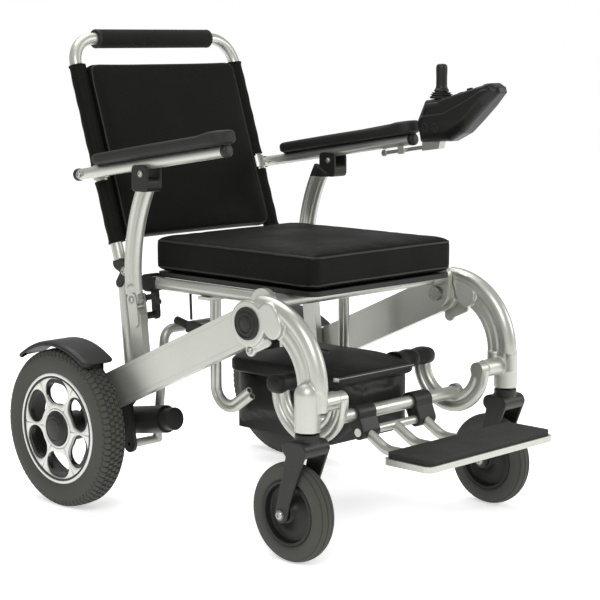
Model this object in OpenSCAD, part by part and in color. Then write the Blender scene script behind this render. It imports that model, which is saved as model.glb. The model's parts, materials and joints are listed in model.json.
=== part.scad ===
// Folding power wheelchair: aluminium beam frame, two geared hub drives, two casters,
// a fold-down back whose armrests and armrest posts swing down with it, a battery bag
// between curved rails, a flip-up footplate and a joystick on the left armrest.
// The sitter faces -Y, +Z is up, "left" is the sitter's left, which is +X.

/* [Overall] */
// Seat cushion width
seat_w = 406; // [380:1:470]
// Cushion depth, back edge to front edge
seat_depth = 443; // [430:1:450]
// Height of the cushion's underside above the floor
seat_z = 468; // [466:1:474]
// Cushion thickness
cushion_t = 70; // [60:1:76]

/* [Rear wheels] */
// Outer radius of the rear tyre
rear_r = 157; // [150:1:160]
// Width of the rear tyre
rear_tyre_w = 62; // [50:1:66]
// Radius of the rear rim where the tyre seats
rear_rim_r = 108; // [100:1:118]
// Radius of the rear hub cap
rear_cap_r = 34; // [28:1:36]
// Radius of the drive shaft
drive_shaft_r = 9; // [7:0.5:10]
// Gap between the rear tyre and the beam
tyre_gap = 8; // [6:1:14]
// Gap between the tyre tread and the fender
fender_gap = 14; // [10:1:20]
// Thickness of the fender
fender_t = 3; // [2:0.5:4]

/* [Casters] */
// Outer radius of the caster tyre
caster_r = 90; // [84:1:92]
// Width of the caster tyre
caster_w = 44; // [36:1:46]
// Radius of the caster rim where the tyre seats
caster_rim_r = 60; // [52:1:64]
// Distance that the caster wheel trails behind its swivel axis
caster_trail = 34; // [26:1:40]
// Radius of the caster axle
caster_axle_r = 5; // [4:0.5:6]
// Outer radius of the swivel barrel
barrel_r = 23; // [21:0.5:25]
// Radius of the caster stem
stem_r = 8; // [6:0.5:9]

/* [Frame] */
// Depth of the main beam
beam_d = 71; // [60:1:76]
// Thickness of the main beam
beam_t = 22; // [18:1:26]
// Wall of the main beam
beam_wall = 2.5; // [2:0.5:4]
// Radius of the outer hub disc on the front leg
hub_r = 42; // [38:1:46]
// Thickness of the outer hub disc
hub_t = 12; // [10:1:14]
// Radius of the main pivot pin
pivot_r = 9; // [7:0.5:11]
// Radius of the seat frame tubes
seat_tube_r = 12; // [10:0.5:12]
// Wall of every round frame tube
tube_wall = 2; // [1.5:0.25:3]
// Tube radius in the doubled front leg section
leg_tube_r = 15.5; // [13:0.5:16]
// Radius of the curve of the front leg
leg_bend_r = 124; // [116:1:128]
// Radius of the rear cross tube
cross_tube_r = 9; // [7:0.5:10]
// Radius of the lower cross tube that carries the footrest
foot_tube_r = 12.5; // [10:0.5:13]
// Tube radius in the doubled bag rail section
rail_tube_r = 10; // [8:0.5:10]
// Radius of the bag rail's curve
rail_bend_r = 73; // [68:1:76]
// Distance between the two bag rails
rail_spread = 400; // [380:2:402]

/* [Back] */
// Radius of the back canes
cane_r = 12; // [10:0.5:12]
// Gap between the cushion and a cane
cane_gap = 2; // [2:0.5:5]
// Length of the back from its hinge to the handle bar
back_len = 466; // [440:1:480]
// Angle of the back from upright
back_tilt = 18.4; // [16:0.2:20]
// Radius of the bends at the top of the canes
handle_bend_r = 55; // [45:1:65]
// Radius of the foam grip
grip_r = 19; // [16:0.5:21]
// Length of the foam grip
grip_len = 300; // [240:1:310]
// Thickness of the back pad
back_pad_t = 34; // [26:1:36]

/* [Arms] */
// Radius of the armrest tube
arm_tube_r = 11; // [9:0.5:11]
// Width of the arm pad
arm_pad_w = 50; // [40:1:54]
// Thickness of the arm pad
arm_pad_t = 23; // [18:1:26]
// Width of the armrest post
post_w = 17; // [14:0.5:17]
// Depth of the armrest post
post_d = 42; // [36:1:44]
// Radius of the post's long curve
post_bend_r = 356; // [340:1:380]

/* [Footrest] */
// Half width of the footplate
footplate_half = 180; // [150:1:182]
// Front to back size of the footplate
footplate_depth = 108; // [90:1:112]
// Thickness of the footplate
footplate_t = 11; // [8:1:12]
// Radius of the footrest tubes
foot_leg_r = 10; // [8:0.5:11]

/* [Battery bag] */
// Width of the battery bag
bag_w = 236; // [190:1:280]
// Height of the battery bag
bag_h = 146; // [130:1:150]
// Front to back size of the battery bag
bag_d = 272; // [220:1:274]

/* [Controller] */
// Width of the controller housing
pod_w = 62; // [54:1:66]
// Wall of the controller housing
pod_wall = 2.5; // [2:0.25:3]
// Radius of the joystick knob
knob_r = 11; // [9:0.5:12]
// Travel of each button
button_travel = 1.2; // [0.8:0.1:1.5]

/* [Fits] */
// Radial clearance of a pin or shaft that turns in a bore
run_gap = 0.05; // [0.02:0.01:0.1]
// Gap between parts that swing past each other
swing_gap = 1; // [0.6:0.1:2]
// Gap between a soft part and its neighbours
soft_gap = 0.5; // [0.3:0.1:1]

/* [Hidden] */
$fn = 48;

// Side-to-side stations, worked outwards from the cushion.
cushion_half = seat_w / 2;
cane_x = cushion_half + cane_gap + cane_r;
hinge_plate_t = 4;
post_x = cane_x + cane_r + 3 + post_w / 2;
beam_in = post_x + post_w / 2 + 3;
beam_out = beam_in + beam_t;
tyre_in = beam_out + tyre_gap;
rear_x = tyre_in + rear_tyre_w / 2;
leg_x = beam_in + 0.5 + leg_tube_r;
caster_x = leg_x + 13;
arm_x = post_x + post_w;
seat_tube_x = cushion_half - 5;
rail_x = rail_spread / 2;
hanger_r = 6.5;
hanger_x = rail_x - 14 - hanger_r;
foot_x = 80;

// Fore-and-aft and height stations [y, z], from the rear axle on the floor.
axle = [0, rear_r];
main_pivot = [-484, 414];
beam_rear = [-64, 224];
beam_angle = atan2(main_pivot[1] - beam_rear[1], beam_rear[0] - main_pivot[0]);
beam_len = norm(main_pivot - beam_rear);
swivel_y = -628;
barrel_top = 304;
barrel_bottom = 239;
leg_centre = [swivel_y + leg_bend_r, 310];
caster_axle = [swivel_y + caster_trail, caster_r];
foot_pivot = [-572, 234];
rail_centre = [-556, 284];
bag_bar_at = [rail_centre[0] + rail_bend_r * cos(8), rail_centre[1] + rail_bend_r * sin(8)];
bag_rear_y = -262;
bag_floor = 166;
seat_front = [-487, 446];
seat_rear_y = -134;
cushion_rear_y = -126;
back_pivot = [-88, 467];
cane_foot = [-62, 472];
arm_rear_at = 190;
post_pivot = [-132, 417];
post_centre = [-124 - post_bend_r, 470];
saddle_at = [-190, 664];
arm_rear = [12, 651];
arm_front = [-402, 715];
arm_angle = atan2(arm_front[1] - arm_rear[1], arm_rear[0] - arm_front[0]);
arm_len = norm(arm_front - arm_rear);
cross_top = [-142, 352];
motor_bolt = [-118, 130];
upright_bolt = [-86, 262];
foot_front = -820;
foot_z = 178;
foot_drop = foot_pivot + [-14, -32];
foot_slope = [-cos(30), -sin(30)];
y_shift = -(foot_front + rear_r) / 2;
rod_drop = -19;
stick_pivot = [-477, 786];
panel_angle = 15.9;
silver = "#C9CAC3";
dark_grey = "#6E6F6C";
black_plastic = "#333530";
black_rubber = "#3D3E38";
black_vinyl = "#2E302B";
steel = "#A8A9A6";

// ---------- helpers ----------
// A shape drawn as [y, z] and extruded from x0 to x1.
module slab(x0, x1) translate([x0, 0, 0]) rotate([90, 0, 90]) linear_extrude(x1 - x0) children();
// A cylinder along X at the point at = [y, z].
module rod_x(at, x0, x1, r) translate([x0, at[0], at[1]]) rotate([0, 90, 0]) cylinder(h = x1 - x0, r = r);
module tube_x(at, x0, x1, r, wall) {
    difference() {
        rod_x(at, x0, x1, r);
        rod_x(at, x0 - 1, x1 + 1, r - wall);
    }
}
// A straight round bar between two points, with a bore when wall is above zero.
module bar(a, b, r, wall = 0) {
    d = b - a;
    translate(a) rotate([0, acos(d[2] / norm(d)), atan2(d[1], d[0])])
        difference() {
            cylinder(h = norm(d), r = r);
            if (wall > 0) translate([0, 0, -1]) cylinder(h = norm(d) + 2, r = r - wall);
        }
}
// Something turned about the X axis through the point at = [y, z], in the [y, z] plane.
module arc_x(x, at, a0, a1) {
    translate([x, at[0], at[1]]) rotate([90, 0, 90]) rotate([0, 0, a0])
        rotate_extrude(angle = a1 - a0, $fn = 96) children();
}
module rounded(w, h, r) {
    square([w - 2 * r, h], center = true);
    square([w, h - 2 * r], center = true);
    for (sx = [-1, 1], sy = [-1, 1]) translate([sx * (w / 2 - r), sy * (h / 2 - r)]) circle(r = r);
}
// A rounded bar outline between two points.
module link(a, b, r) {
    d = b - a;
    n = [-d[1], d[0]] / norm(d) * r;
    translate(a) circle(r = r);
    translate(b) circle(r = r);
    polygon([a + n, b + n, b - n, a - n]);
}
module both_sides() {
    children();
    mirror([1, 0, 0]) children();
}
// side = 1 is the sitter's left.
module on_side(side) {
    if (side > 0) children();
    else mirror([1, 0, 0]) children();
}
module placed() translate([0, y_shift, 0]) children();

// ---------- frame ----------
module beam(side) {
    color(silver) placed() on_side(side) difference() {
        slab(beam_in, beam_out) beam_outline(beam_d / 2);
        slab(beam_in + beam_wall, beam_out - beam_wall) difference() {
            beam_outline(beam_d / 2 - beam_wall);
            translate(main_pivot) circle(r = pivot_r + 6);
            translate(beam_rear) circle(r = 14);
        }
        rod_x(main_pivot, beam_in - 1, beam_out + 1, pivot_r + run_gap);
        // Shallow grooves along the outer face.
        for (z = [-1, 1]) slab(beam_out - 0.8, beam_out + 1)
            translate(main_pivot) rotate(-beam_angle)
                translate([48, z * (beam_d / 2 - 9) - 1]) square([beam_len - 70, 2]);
    }
}
module beam_outline(r) link(main_pivot, beam_rear, r);

module pivot_pins() {
    color(steel) placed() both_sides() {
        rod_x(main_pivot, beam_in - 14, beam_out + hub_t - 2, pivot_r);
        rod_x(main_pivot, beam_in - 20, beam_in - 14, pivot_r + 5);
    }
}

module seat_frame() {
    half = beam_in - 12;
    color(silver) placed() difference() {
        union() {
            rod_x(seat_front, -half, half, seat_tube_r);
            both_sides() {
                // Side rail, from the front tube to the rear bracket.
                rail_y(seat_front[0], seat_rear_y, seat_tube_r);
                // Front plate beside the beam's end, with the tube's socket.
                slab(half, beam_in - 0.5) link(main_pivot, seat_front, hub_r - 14);
                rod_x(seat_front, beam_in - 40, half + 1, seat_tube_r + 4);
            }
        }
        rod_x(seat_front, -half, half, seat_tube_r - tube_wall);
        both_sides() {
            rail_y(seat_front[0] + seat_tube_r + 1, seat_rear_y + 1, seat_tube_r - tube_wall);
            rod_x(main_pivot, beam_in - 20, beam_in + 1, pivot_r + run_gap);
        }
    }
}
module rail_y(y0, y1, r) translate([seat_tube_x, y0, seat_front[1]]) rotate([-90, 0, 0]) cylinder(h = y1 - y0, r = r);

// Lower ends of the back canes and armrest posts, spaced off the beams' inner faces.
module rear_uprights() {
    color(silver) placed() both_sides() {
        bar([cane_x, cane_foot[0] - 6, cane_foot[1] - 22], [cane_x, -88, 250], cane_r, tube_wall);
        rod_x(upright_bolt, cane_x + cane_r - 1, beam_in - 0.1, 9);
        // Hinge pin of the back.
        rod_x(back_pivot, cane_x - cane_r - 5, cane_x + cane_r + 4, 5);
        // Post base: an oval stub, two cheeks and the pin that take the post's foot.
        slab(post_x - post_w / 2, post_x + post_w / 2) link([-137, 384], [-150, 262], post_d / 2 - 4);
        for (x = [post_x - post_w / 2 - 4.5, post_x + post_w / 2 + swing_gap / 2])
            slab(x, x + 4 - swing_gap / 2) link(post_pivot, [-138, 376], 13);
        rod_x(post_pivot, post_x - post_w / 2 - 12, post_x + post_w / 2 + 5, 5);
        rod_x([-138, 376], post_x - post_w / 2 - 4.5, post_x + post_w / 2 + 4, 11);
        rod_x([-150, 262], post_x + post_w / 2 - 1, beam_in - 0.1, 9);
    }
}

module rear_cross_tube() {
    x = rail_x - 21;
    r = 24;
    color(dark_grey) placed() {
        rod_x(cross_top, -x + r, x - r, cross_tube_r);
        both_sides() {
            translate([x - r, cross_top[0], cross_top[1] - r]) rotate([90, 0, 0])
                rotate_extrude(angle = 90) translate([r, 0]) circle(r = cross_tube_r);
            bar([x, cross_top[0], cross_top[1] - r + 2], [x, motor_bolt[0], motor_bolt[1]], cross_tube_r);
            rod_x(motor_bolt, x - 6, beam_in - 7.05, 8);
        }
    }
}
module ring(r, wall) difference() {
    circle(r = r);
    circle(r = r - wall);
}

// Dark plates that tie each beam's rear end to its gearbox and cross tube.
module motor_plates() {
    color(black_plastic) placed() both_sides() difference() {
        slab(beam_in - 7, beam_in - 0.1) {
            link([-104, 236], [2, rear_r + 2], 34);
            link([-104, 236], motor_bolt, 16);
        }
        rod_x(axle, beam_in - 10, beam_in + 5, drive_shaft_r + 3);
        for (p = [motor_bolt, [-104, 236]]) rod_x(p, beam_in - 10, beam_in + 5, 4);
        rod_x(upright_bolt, beam_in - 10, beam_in + 5, 9 + run_gap);
    }
}

module gearboxes() {
    color(black_plastic) placed() both_sides() {
        difference() {
            union() {
                rod_x(axle, beam_in - 50, beam_in - 7.05, 42);
                rod_x([-52, rear_r + 9], beam_in - 50, beam_in - 7.05, 30);
            }
            rod_x(axle, beam_in - 46, beam_in, drive_shaft_r + run_gap);
        }
    }
}

module motors() {
    x = beam_in - 35;
    color(black_plastic) placed() both_sides() {
        bar([x, -82.2, rear_r + 11], [x, -190, rear_r + 29], 27);
        bar([x, -189, rear_r + 28.8], [x, -214, rear_r + 33], 22);
    }
}

module fenders() {
    a0 = 50;
    a1 = 127;
    r = rear_r + fender_gap;
    x0 = beam_out + 1;
    x1 = rear_x + rear_tyre_w / 2 + 3;
    color(black_plastic) placed() both_sides() {
        arc_x(0, axle, a0, a1) polygon([[r, x0], [r + fender_t, x0], [r + fender_t, x1], [r - 9, x1],
            [r - 9, x1 - fender_t], [r, x1 - fender_t]]);
        // Inner skirt and the strap that bolts to the beam.
        arc_x(0, axle, 96, a1 - 2) translate([r - 20, x0 + 0.7]) square([21.5, 3.3]);
        slab(x0 - 0.9, x0 + 3) link([-88, rear_r + 134], [-96, 250], 12);
    }
}

module bag_hangers() {
    c = [-326, 262];
    bend = 42;
    end = 235;
    color(silver) placed() both_sides() {
        for (r = [bend, bend - 2 * hanger_r + 1]) {
            top = [hanger_x, c[0] + r, seat_front[1] - seat_tube_r - 1];
            tip = c + r * [cos(end), sin(end)];
            bar([hanger_x, c[0] + r, c[1]], top, hanger_r, 1.5);
            arc_x(hanger_x, c, end, 360) translate([r, 0]) ring(hanger_r, 1.5);
            bar([hanger_x, tip[0], tip[1]], [hanger_x, tip[0] + 46 * sin(end), tip[1] - 46 * cos(end)],
                hanger_r, 1.5);
        }
        // Foot that bolts to the side rail.
        translate([hanger_x - hanger_r, c[0] + bend - 22, seat_front[1] - seat_tube_r - 6])
            cube([seat_tube_x + seat_tube_r - hanger_x + hanger_r, 32, 5.95]);
    }
}

// ---------- seat ----------
module seat_cushion() {
    color(black_vinyl) placed()
        translate([0, (cushion_rear_y + cushion_front()) / 2, seat_z])
            linear_extrude(cushion_t) rounded(seat_w, seat_depth, 26);
}
function cushion_front() = cushion_rear_y - seat_depth;

// Upholstery board under the cushion, on the side rails.
module seat_board() {
    z0 = seat_front[1] + seat_tube_r + 0.05;
    color(black_plastic) placed() difference() {
        translate([0, (cushion_rear_y + cushion_front()) / 2, z0])
            linear_extrude(seat_z - z0 - soft_gap) rounded(seat_w - 16, seat_depth - 18, 20);
        translate([0, (cushion_rear_y + cushion_front()) / 2, z0 - 1])
            linear_extrude(5) rounded(2 * seat_tube_x - 2 * seat_tube_r - 20, seat_depth - 60, 16);
    }
}

// Black brackets that tie the side rails' rear ends to the posts' foot, and the hinge cheeks.
module seat_brackets() {
    color(black_plastic) placed() both_sides() {
        difference() {
            union() {
                slab(seat_tube_x - seat_tube_r - 5, seat_tube_x + seat_tube_r + 3)
                    link([-136, 446], [-128, 446], 17);
                slab(seat_tube_x - 4, seat_tube_x + 4) link([-138, 436], [-142, 384], 9);
            }
            translate([seat_tube_x, seat_rear_y + 0.05, seat_front[1]]) rotate([90, 0, 0])
                cylinder(h = 60, r = seat_tube_r + 0.05);
            // Room for the rear edge of the seat board.
            translate([0, seat_rear_y - 60.5, seat_front[1] + seat_tube_r]) cube([beam_in, 60, 20]);
        }
        // Bolt boss across to the post base.
        rod_x([-142, 384], seat_tube_x - 2, post_x - post_w / 2 - 4.55, 7);
        // Cheeks that hold the back's hinge pin, clamped to the top of the upright.
        difference() {
            for (x = [cane_x - cane_r - 4, cane_x + cane_r - 1.3]) slab(x, x + 5.3)
                link(back_pivot, [-71, 442], 9);
            bar([cane_x, cane_foot[0] - 6, cane_foot[1] - 22], [cane_x, -88, 250], cane_r + 0.05);
            rod_x(back_pivot, cane_x - cane_r - 6, cane_x + cane_r + 6, 5.05);
        }
    }
}

// The drive wiring's plug and its two sockets, clipped under the right side rail.
module wiring_plug() {
    x = -seat_tube_x + 2;
    color(black_plastic) placed() {
        translate([x - 9, -276, 352]) rotate([12, 0, 0]) cube([18, 44, 20]);
        translate([x, -231.8, 371.3]) rotate([-78, 0, 0]) cylinder(h = 34, r = 8);
        bar([x, -240, 384], [x, -238, seat_front[1] - seat_tube_r - 0.05], 2.5);
    }
}

// ---------- rear wheels ----------
module tyre_section(r, rim, w, round_r) {
    // [radius, width] outline: rounded shoulders and a bead that grips the rim.
    translate([rim, -w / 2 + 6]) square([r - rim - round_r, w - 12]);
    translate([rim + 6, -w / 2]) square([r - rim - round_r - 6, w]);
    translate([r - round_r - 1, -w / 2 + round_r]) square([round_r + 1, w - 2 * round_r]);
    for (s = [-1, 1]) translate([r - round_r, s * (w / 2 - round_r)]) circle(r = round_r);
}
module wheel_at(x, at) translate([x, at[0], at[1]]) rotate([0, 90, 0]) children();

module rear_tyre(side) {
    color(black_rubber) placed() on_side(side) wheel_at(rear_x, axle)
        rotate_extrude($fn = 96) tyre_section(rear_r, rear_rim_r, rear_tyre_w, 15);
}
module rear_rim(side) {
    half = rear_tyre_w / 2 - 6;
    color(silver) placed() on_side(side) wheel_at(rear_x, axle) difference() {
        union() {
            // Barrel, two flanges, the pierced web and the hub.
            rotate_extrude($fn = 96) {
                translate([rear_rim_r - 8, -half]) square([7.8, 2 * half]);
                translate([20, half - 14]) square([rear_rim_r - 22, 10]);
                translate([drive_shaft_r + 2, -half - 4]) square([18, 2 * half]);
            }
        }
        translate([0, 0, half - 20]) linear_extrude(30) for (i = [0:5]) rotate(60 * i) kidney(48, 90, 10);
        translate([0, 0, -half - 6]) cylinder(h = 2 * half + 12, r = drive_shaft_r + 2.5);
    }
}
// A ring sector with round ends: from radius r0 to r1, a degrees either side of X.
module kidney(r0, r1, a) {
    mid = (r0 + r1) / 2;
    intersection() {
        ring(r1, r1 - r0);
        polygon([[0, 0], for (t = [-a:a / 2:a]) 2 * r1 * [cos(t), sin(t)]]);
    }
    for (t = [-a, a]) translate(mid * [cos(t), sin(t)]) circle(r = (r1 - r0) / 2 - 0.05);
}
module rear_axle(side) {
    color(black_plastic) placed() on_side(side) {
        rod_x(axle, beam_in - 44, rear_x + 14, drive_shaft_r);
        rod_x(axle, rear_x - 22, rear_x + 23, drive_shaft_r + 2.4);
        rod_x(axle, rear_x + 21.2, rear_x + rear_tyre_w / 2 + 2, rear_cap_r);
    }
}

// ---------- front legs ----------
// One wide rib on the outside of the bend and two narrow ones inside it, on a web.
module leg_section() {
    offset_r = leg_tube_r + 1;
    translate([offset_r, 0]) circle(r = leg_tube_r);
    for (x = [-8.5, -23.5]) translate([x, 0]) circle(r = 9.5);
    translate([-24, -7]) square([24 + offset_r, 14]);
}
module front_leg(side) {
    color(silver) placed() on_side(side) difference() {
        union() {
            arc_x(leg_x, leg_centre, 88, 180) translate([leg_bend_r, 0]) leg_section();
            translate([leg_x, swivel_y, barrel_top - 30]) linear_extrude(leg_centre[1] - barrel_top + 30)
                rotate(90) leg_section();
            // Outer hub disc and its cup.
            slab(beam_out + 1, beam_out + hub_t) translate(main_pivot) circle(r = hub_r);
            slab(leg_x - leg_tube_r + 1, beam_out + hub_t)
                link(main_pivot + [-50, 20], main_pivot + [-62, 0], 22);
            // Swivel barrel and the inner boss for the bag rail.
            translate([caster_x, swivel_y, barrel_bottom]) cylinder(h = barrel_top - barrel_bottom, r = barrel_r);
            translate([caster_x, swivel_y, barrel_top]) sphere(r = barrel_r);
            rod_x([rail_centre[0] - rail_bend_r + 2, 284], rail_x + rail_tube_r + 0.05, leg_x, 17);
            // Lug with the pinch bolt under the hub.
            rod_x(main_pivot + [-4, -hub_r - 6], beam_out + 1, beam_out + 9, 12);
            slab(beam_out + 1, beam_out + 7) link(main_pivot + [-4, -hub_r - 6], main_pivot + [-44, -30], 8);
        }
        // Room for the beam's end to turn in, and the bores.
        slab(beam_in - 1, beam_out + 1) translate(main_pivot) circle(r = beam_d / 2 + swing_gap);
        slab(beam_in - 20, beam_out + 1) beam_sweep();
        rod_x(main_pivot, beam_out - 1, beam_out + hub_t + 1, pivot_r + run_gap);
        translate([caster_x, swivel_y, barrel_bottom - 1])
            cylinder(h = barrel_top - barrel_bottom + 1, r = stem_r + 7);
        for (z = [barrel_bottom - 1, barrel_top - 12])
            translate([caster_x, swivel_y, z]) cylinder(h = 13, r = 17);
    }
}
// The stretch of beam that the leg has to stay clear of as it folds.
module beam_sweep() link(main_pivot, main_pivot + 60 * [cos(beam_angle), -sin(beam_angle)], beam_d / 2 + swing_gap);

module hub_caps() {
    color(black_plastic) placed() both_sides() difference() {
        rod_x(main_pivot, beam_out + hub_t + 0.1, beam_out + hub_t + 6, 30);
        for (r = [13, 21]) translate([beam_out + hub_t + 5, main_pivot[0], main_pivot[1]])
            rotate([0, 90, 0]) rotate_extrude() translate([r, 0]) square([2.5, 3]);
    }
}

// Doubled C-shaped rails, from each leg's inner boss round to the bag bar.
module bag_rails() {
    off = rail_tube_r - 1;
    x0 = rail_x - rail_tube_r;
    x1 = rail_x + rail_tube_r;
    color(silver) placed() both_sides() {
        arc_x(rail_x, rail_centre, 180, 368) for (s = [-1, 1])
            translate([rail_bend_r + s * off, 0]) circle(r = rail_tube_r);
        rod_x([rail_centre[0] - rail_bend_r + 2, 284], x0, x1, 15);
        rod_x(foot_pivot, rail_x - rail_tube_r, rail_x, foot_tube_r + 4);
        rod_x(bag_bar_at, x0, x1 - 2, 12);
    }
}
module lower_cross_tube() {
    half = rail_x - rail_tube_r - 0.05;
    color(silver) placed() tube_x(foot_pivot, -half, half, foot_tube_r, tube_wall);
}
module bag_bar() {
    half = rail_x - rail_tube_r - 0.05;
    color(black_rubber) placed() rod_x(bag_bar_at, -half, half, 9);
}

// Hollow fabric bag for the battery. The bar between the rails runs through its sleeve.
module battery_bag() {
    color(black_vinyl) placed() difference() {
        slab(-bag_w / 2, bag_w / 2) bag_outline(0);
        slab(-bag_w / 2 + 3, bag_w / 2 - 3) bag_outline(3);
        rod_x(bag_bar_at, -bag_w / 2 - 1, bag_w / 2 + 1, 9.3);
    }
}
// Side view of the bag: its lid slopes down at the front and the back.
module bag_outline(inset) {
    front = bag_rear_y - bag_d;
    top = bag_floor + bag_h;
    offset(r = 12 - inset) offset(delta = -12) polygon([[front, bag_floor], [front, top - 15],
        [front + 32, top - 2], [bag_rear_y - 40, top], [bag_rear_y, top - 17], [bag_rear_y, bag_floor]]);
}
// Two cell blocks, side by side, on the floor of the bag.
module battery_pack() {
    color(black_plastic) placed() for (s = [-1, 1]) translate([s * (bag_w - 16) / 4, 0, 0])
        translate([0, bag_rear_y - bag_d / 2, bag_floor + 3.05])
            linear_extrude(bag_h - 46) rounded((bag_w - 16) / 2 - 3, bag_d - 24, 8);
}
module footrest_clamps() {
    color(black_plastic) placed() for (s = [-1, 1]) difference() {
        slab(s * foot_x - 24, s * foot_x + 24) {
            circle_at(foot_pivot, foot_tube_r + 6);
            link(foot_pivot + [-4, -8], foot_drop, foot_leg_r + 4);
        }
        rod_x(foot_pivot, s * foot_x - 25, s * foot_x + 25, foot_tube_r + run_gap);
        rod_x(foot_drop, s * foot_x - 25, s * foot_x + 25, foot_leg_r - 1.95);
        cut0 = foot_drop - 0.05 * foot_slope;
        cut1 = foot_drop + 60 * foot_slope;
        bar([s * foot_x, cut0[0], cut0[1]], [s * foot_x, cut1[0], cut1[1]], foot_leg_r + 0.05);
    }
}

module caster_bearings() {
    color(steel) placed() both_sides() for (z = [barrel_bottom + 0.5, barrel_top - 11])
        translate([caster_x, swivel_y, z]) difference() {
            cylinder(h = 10, r = 16.9);
            translate([0, 0, -1]) cylinder(h = 12, r = stem_r + run_gap);
        }
}

// ---------- casters ----------
module caster_fork(side) {
    crown_z = barrel_bottom - 3;
    arm_t = 6;
    gap = caster_w / 2 + 4;
    color(black_plastic) placed() on_side(side) {
        translate([caster_x, swivel_y, crown_z - 14]) cylinder(h = 14, r = barrel_r - 1);
        translate([caster_x, swivel_y, crown_z]) cylinder(h = barrel_top - crown_z - 0.5, r = stem_r);
        // Crown yoke over the tyre, and the two arms down to the axle.
        slab(caster_x - gap - arm_t, caster_x + gap + arm_t)
            link([swivel_y - 10, crown_z - 26], [swivel_y + 16, crown_z - 26], 15);
        for (s = [-1, 1]) difference() {
            slab(min(caster_x + s * gap, caster_x + s * (gap + arm_t)),
                 max(caster_x + s * gap, caster_x + s * (gap + arm_t))) {
                link([swivel_y + 4, crown_z - 26], caster_axle, 15);
                link([swivel_y - 14, crown_z - 26], caster_axle, 11);
            }
            rod_x(caster_axle, caster_x - 60, caster_x + 60, caster_axle_r + run_gap);
        }
        rod_x(caster_axle, caster_x - gap - arm_t - 2, caster_x + gap + arm_t + 2, caster_axle_r);
        for (s = [-1, 1]) rod_x(caster_axle, caster_x + s * (gap + arm_t + 2) - 2,
            caster_x + s * (gap + arm_t + 2) + 2, 9);
    }
}
module caster_tyre(side) {
    color(black_rubber) placed() on_side(side) wheel_at(caster_x, caster_axle)
        rotate_extrude($fn = 96) tyre_section(caster_r, caster_rim_r, caster_w, 14);
}
module caster_rim(side) {
    half = caster_w / 2 - 5;
    color(black_plastic) placed() on_side(side) wheel_at(caster_x, caster_axle) rotate_extrude($fn = 96) {
        translate([caster_rim_r - 6, -half]) square([5.8, 2 * half]);
        translate([16, -5]) square([caster_rim_r - 20, 10]);
        translate([caster_axle_r + run_gap, -caster_w / 2 - 1]) square([12, caster_w + 2]);
    }
}

// ---------- footrest ----------
module footrest_frame() {
    color(silver) placed() {
        for (x = [-foot_x, 0, foot_x]) foot_leg(x);
        rod_x(foot_drop, -foot_x - 24, foot_x + 24, foot_leg_r - 2);
        translate([0, foot_front + footplate_depth / 2, foot_z])
            linear_extrude(footplate_t) rounded(2 * footplate_half, footplate_depth, 14);
    }
}
// One curved tube, from the clamp down and forward to the plate.
module foot_leg(x) {
    bend = 56;
    p = foot_drop + 42 * foot_slope;
    c = p + bend * [-cos(300), -sin(300)];
    bar([x, foot_drop[0], foot_drop[1]], [x, p[0], p[1]], foot_leg_r);
    arc_x(x, c, 270, 300) translate([bend, 0]) circle(r = foot_leg_r);
    bar([x, c[0], c[1] - bend], [x, foot_front + footplate_depth - 6, c[1] - bend], foot_leg_r);
}
module footplate_pad() {
    color(black_rubber) placed()
        translate([0, foot_front + footplate_depth / 2, foot_z + footplate_t])
            linear_extrude(10) rounded(2 * footplate_half - 10, footplate_depth - 8, 12);
}

// ---------- back ----------
// Places a shape drawn upright from the foot of the canes.
module in_back() translate([0, cane_foot[0], cane_foot[1]]) rotate([-back_tilt, 0, 0]) children();
module back_frame() {
    straight = back_len - handle_bend_r;
    color(silver) placed() {
        in_back() {
            both_sides() {
                difference() {
                    translate([cane_x, 0, 14]) cylinder(h = straight - 14, r = cane_r);
                    translate([cane_x, 0, 34]) cylinder(h = straight, r = cane_r - tube_wall);
                }
                translate([cane_x - handle_bend_r, 0, straight]) rotate([90, 0, 0])
                    rotate_extrude(angle = 90, $fn = 64) translate([handle_bend_r, 0]) ring(cane_r, tube_wall);
                // Collar and pin that carry the armrest.
                difference() {
                    translate([cane_x, 0, arm_rear_at - 12]) cylinder(h = 24, r = cane_r + 4);
                    translate([cane_x, 0, arm_rear_at - 13]) cylinder(h = 26, r = cane_r);
                }
            }
            tube_x([0, back_len], -cane_x + handle_bend_r, cane_x - handle_bend_r, cane_r, tube_wall);
        }
        both_sides() rod_x(arm_pin(), cane_x + cane_r - 0.5, arm_x + arm_tube_r + 3, 6);
    }
}
function arm_pin() = cane_foot + arm_rear_at * [sin(back_tilt), cos(back_tilt)];
module push_grip() {
    color(black_rubber) placed() in_back() tube_x([0, back_len], -grip_len / 2, grip_len / 2, grip_r,
        grip_r - cane_r - 0.1);
}
module back_upholstery() {
    top = back_len - handle_bend_r + 4;
    sleeve_r = cane_r + 3.5;
    gap0 = arm_rear_at - 17;
    gap1 = arm_rear_at + 17;
    color(black_vinyl) placed() in_back() {
        difference() {
            translate([0, -2, 48]) linear_extrude(top - 48)
                rounded(2 * (cane_x - cane_r - soft_gap), back_pad_t, 12);
            both_sides() translate([cane_x, 0, gap0]) cylinder(h = gap1 - gap0, r = cane_r + 5);
        }
        both_sides() for (z = [[48, gap0], [gap1, top - 4]]) difference() {
            union() {
                translate([cane_x, 0, z[0]]) cylinder(h = z[1] - z[0], r = sleeve_r);
                translate([cane_x - cane_r - 6, -9, z[0]]) cube([10, 14, z[1] - z[0]]);
            }
            translate([cane_x, 0, z[0] - 1]) cylinder(h = z[1] - z[0] + 2, r = cane_r + 0.2);
        }
    }
}
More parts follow.
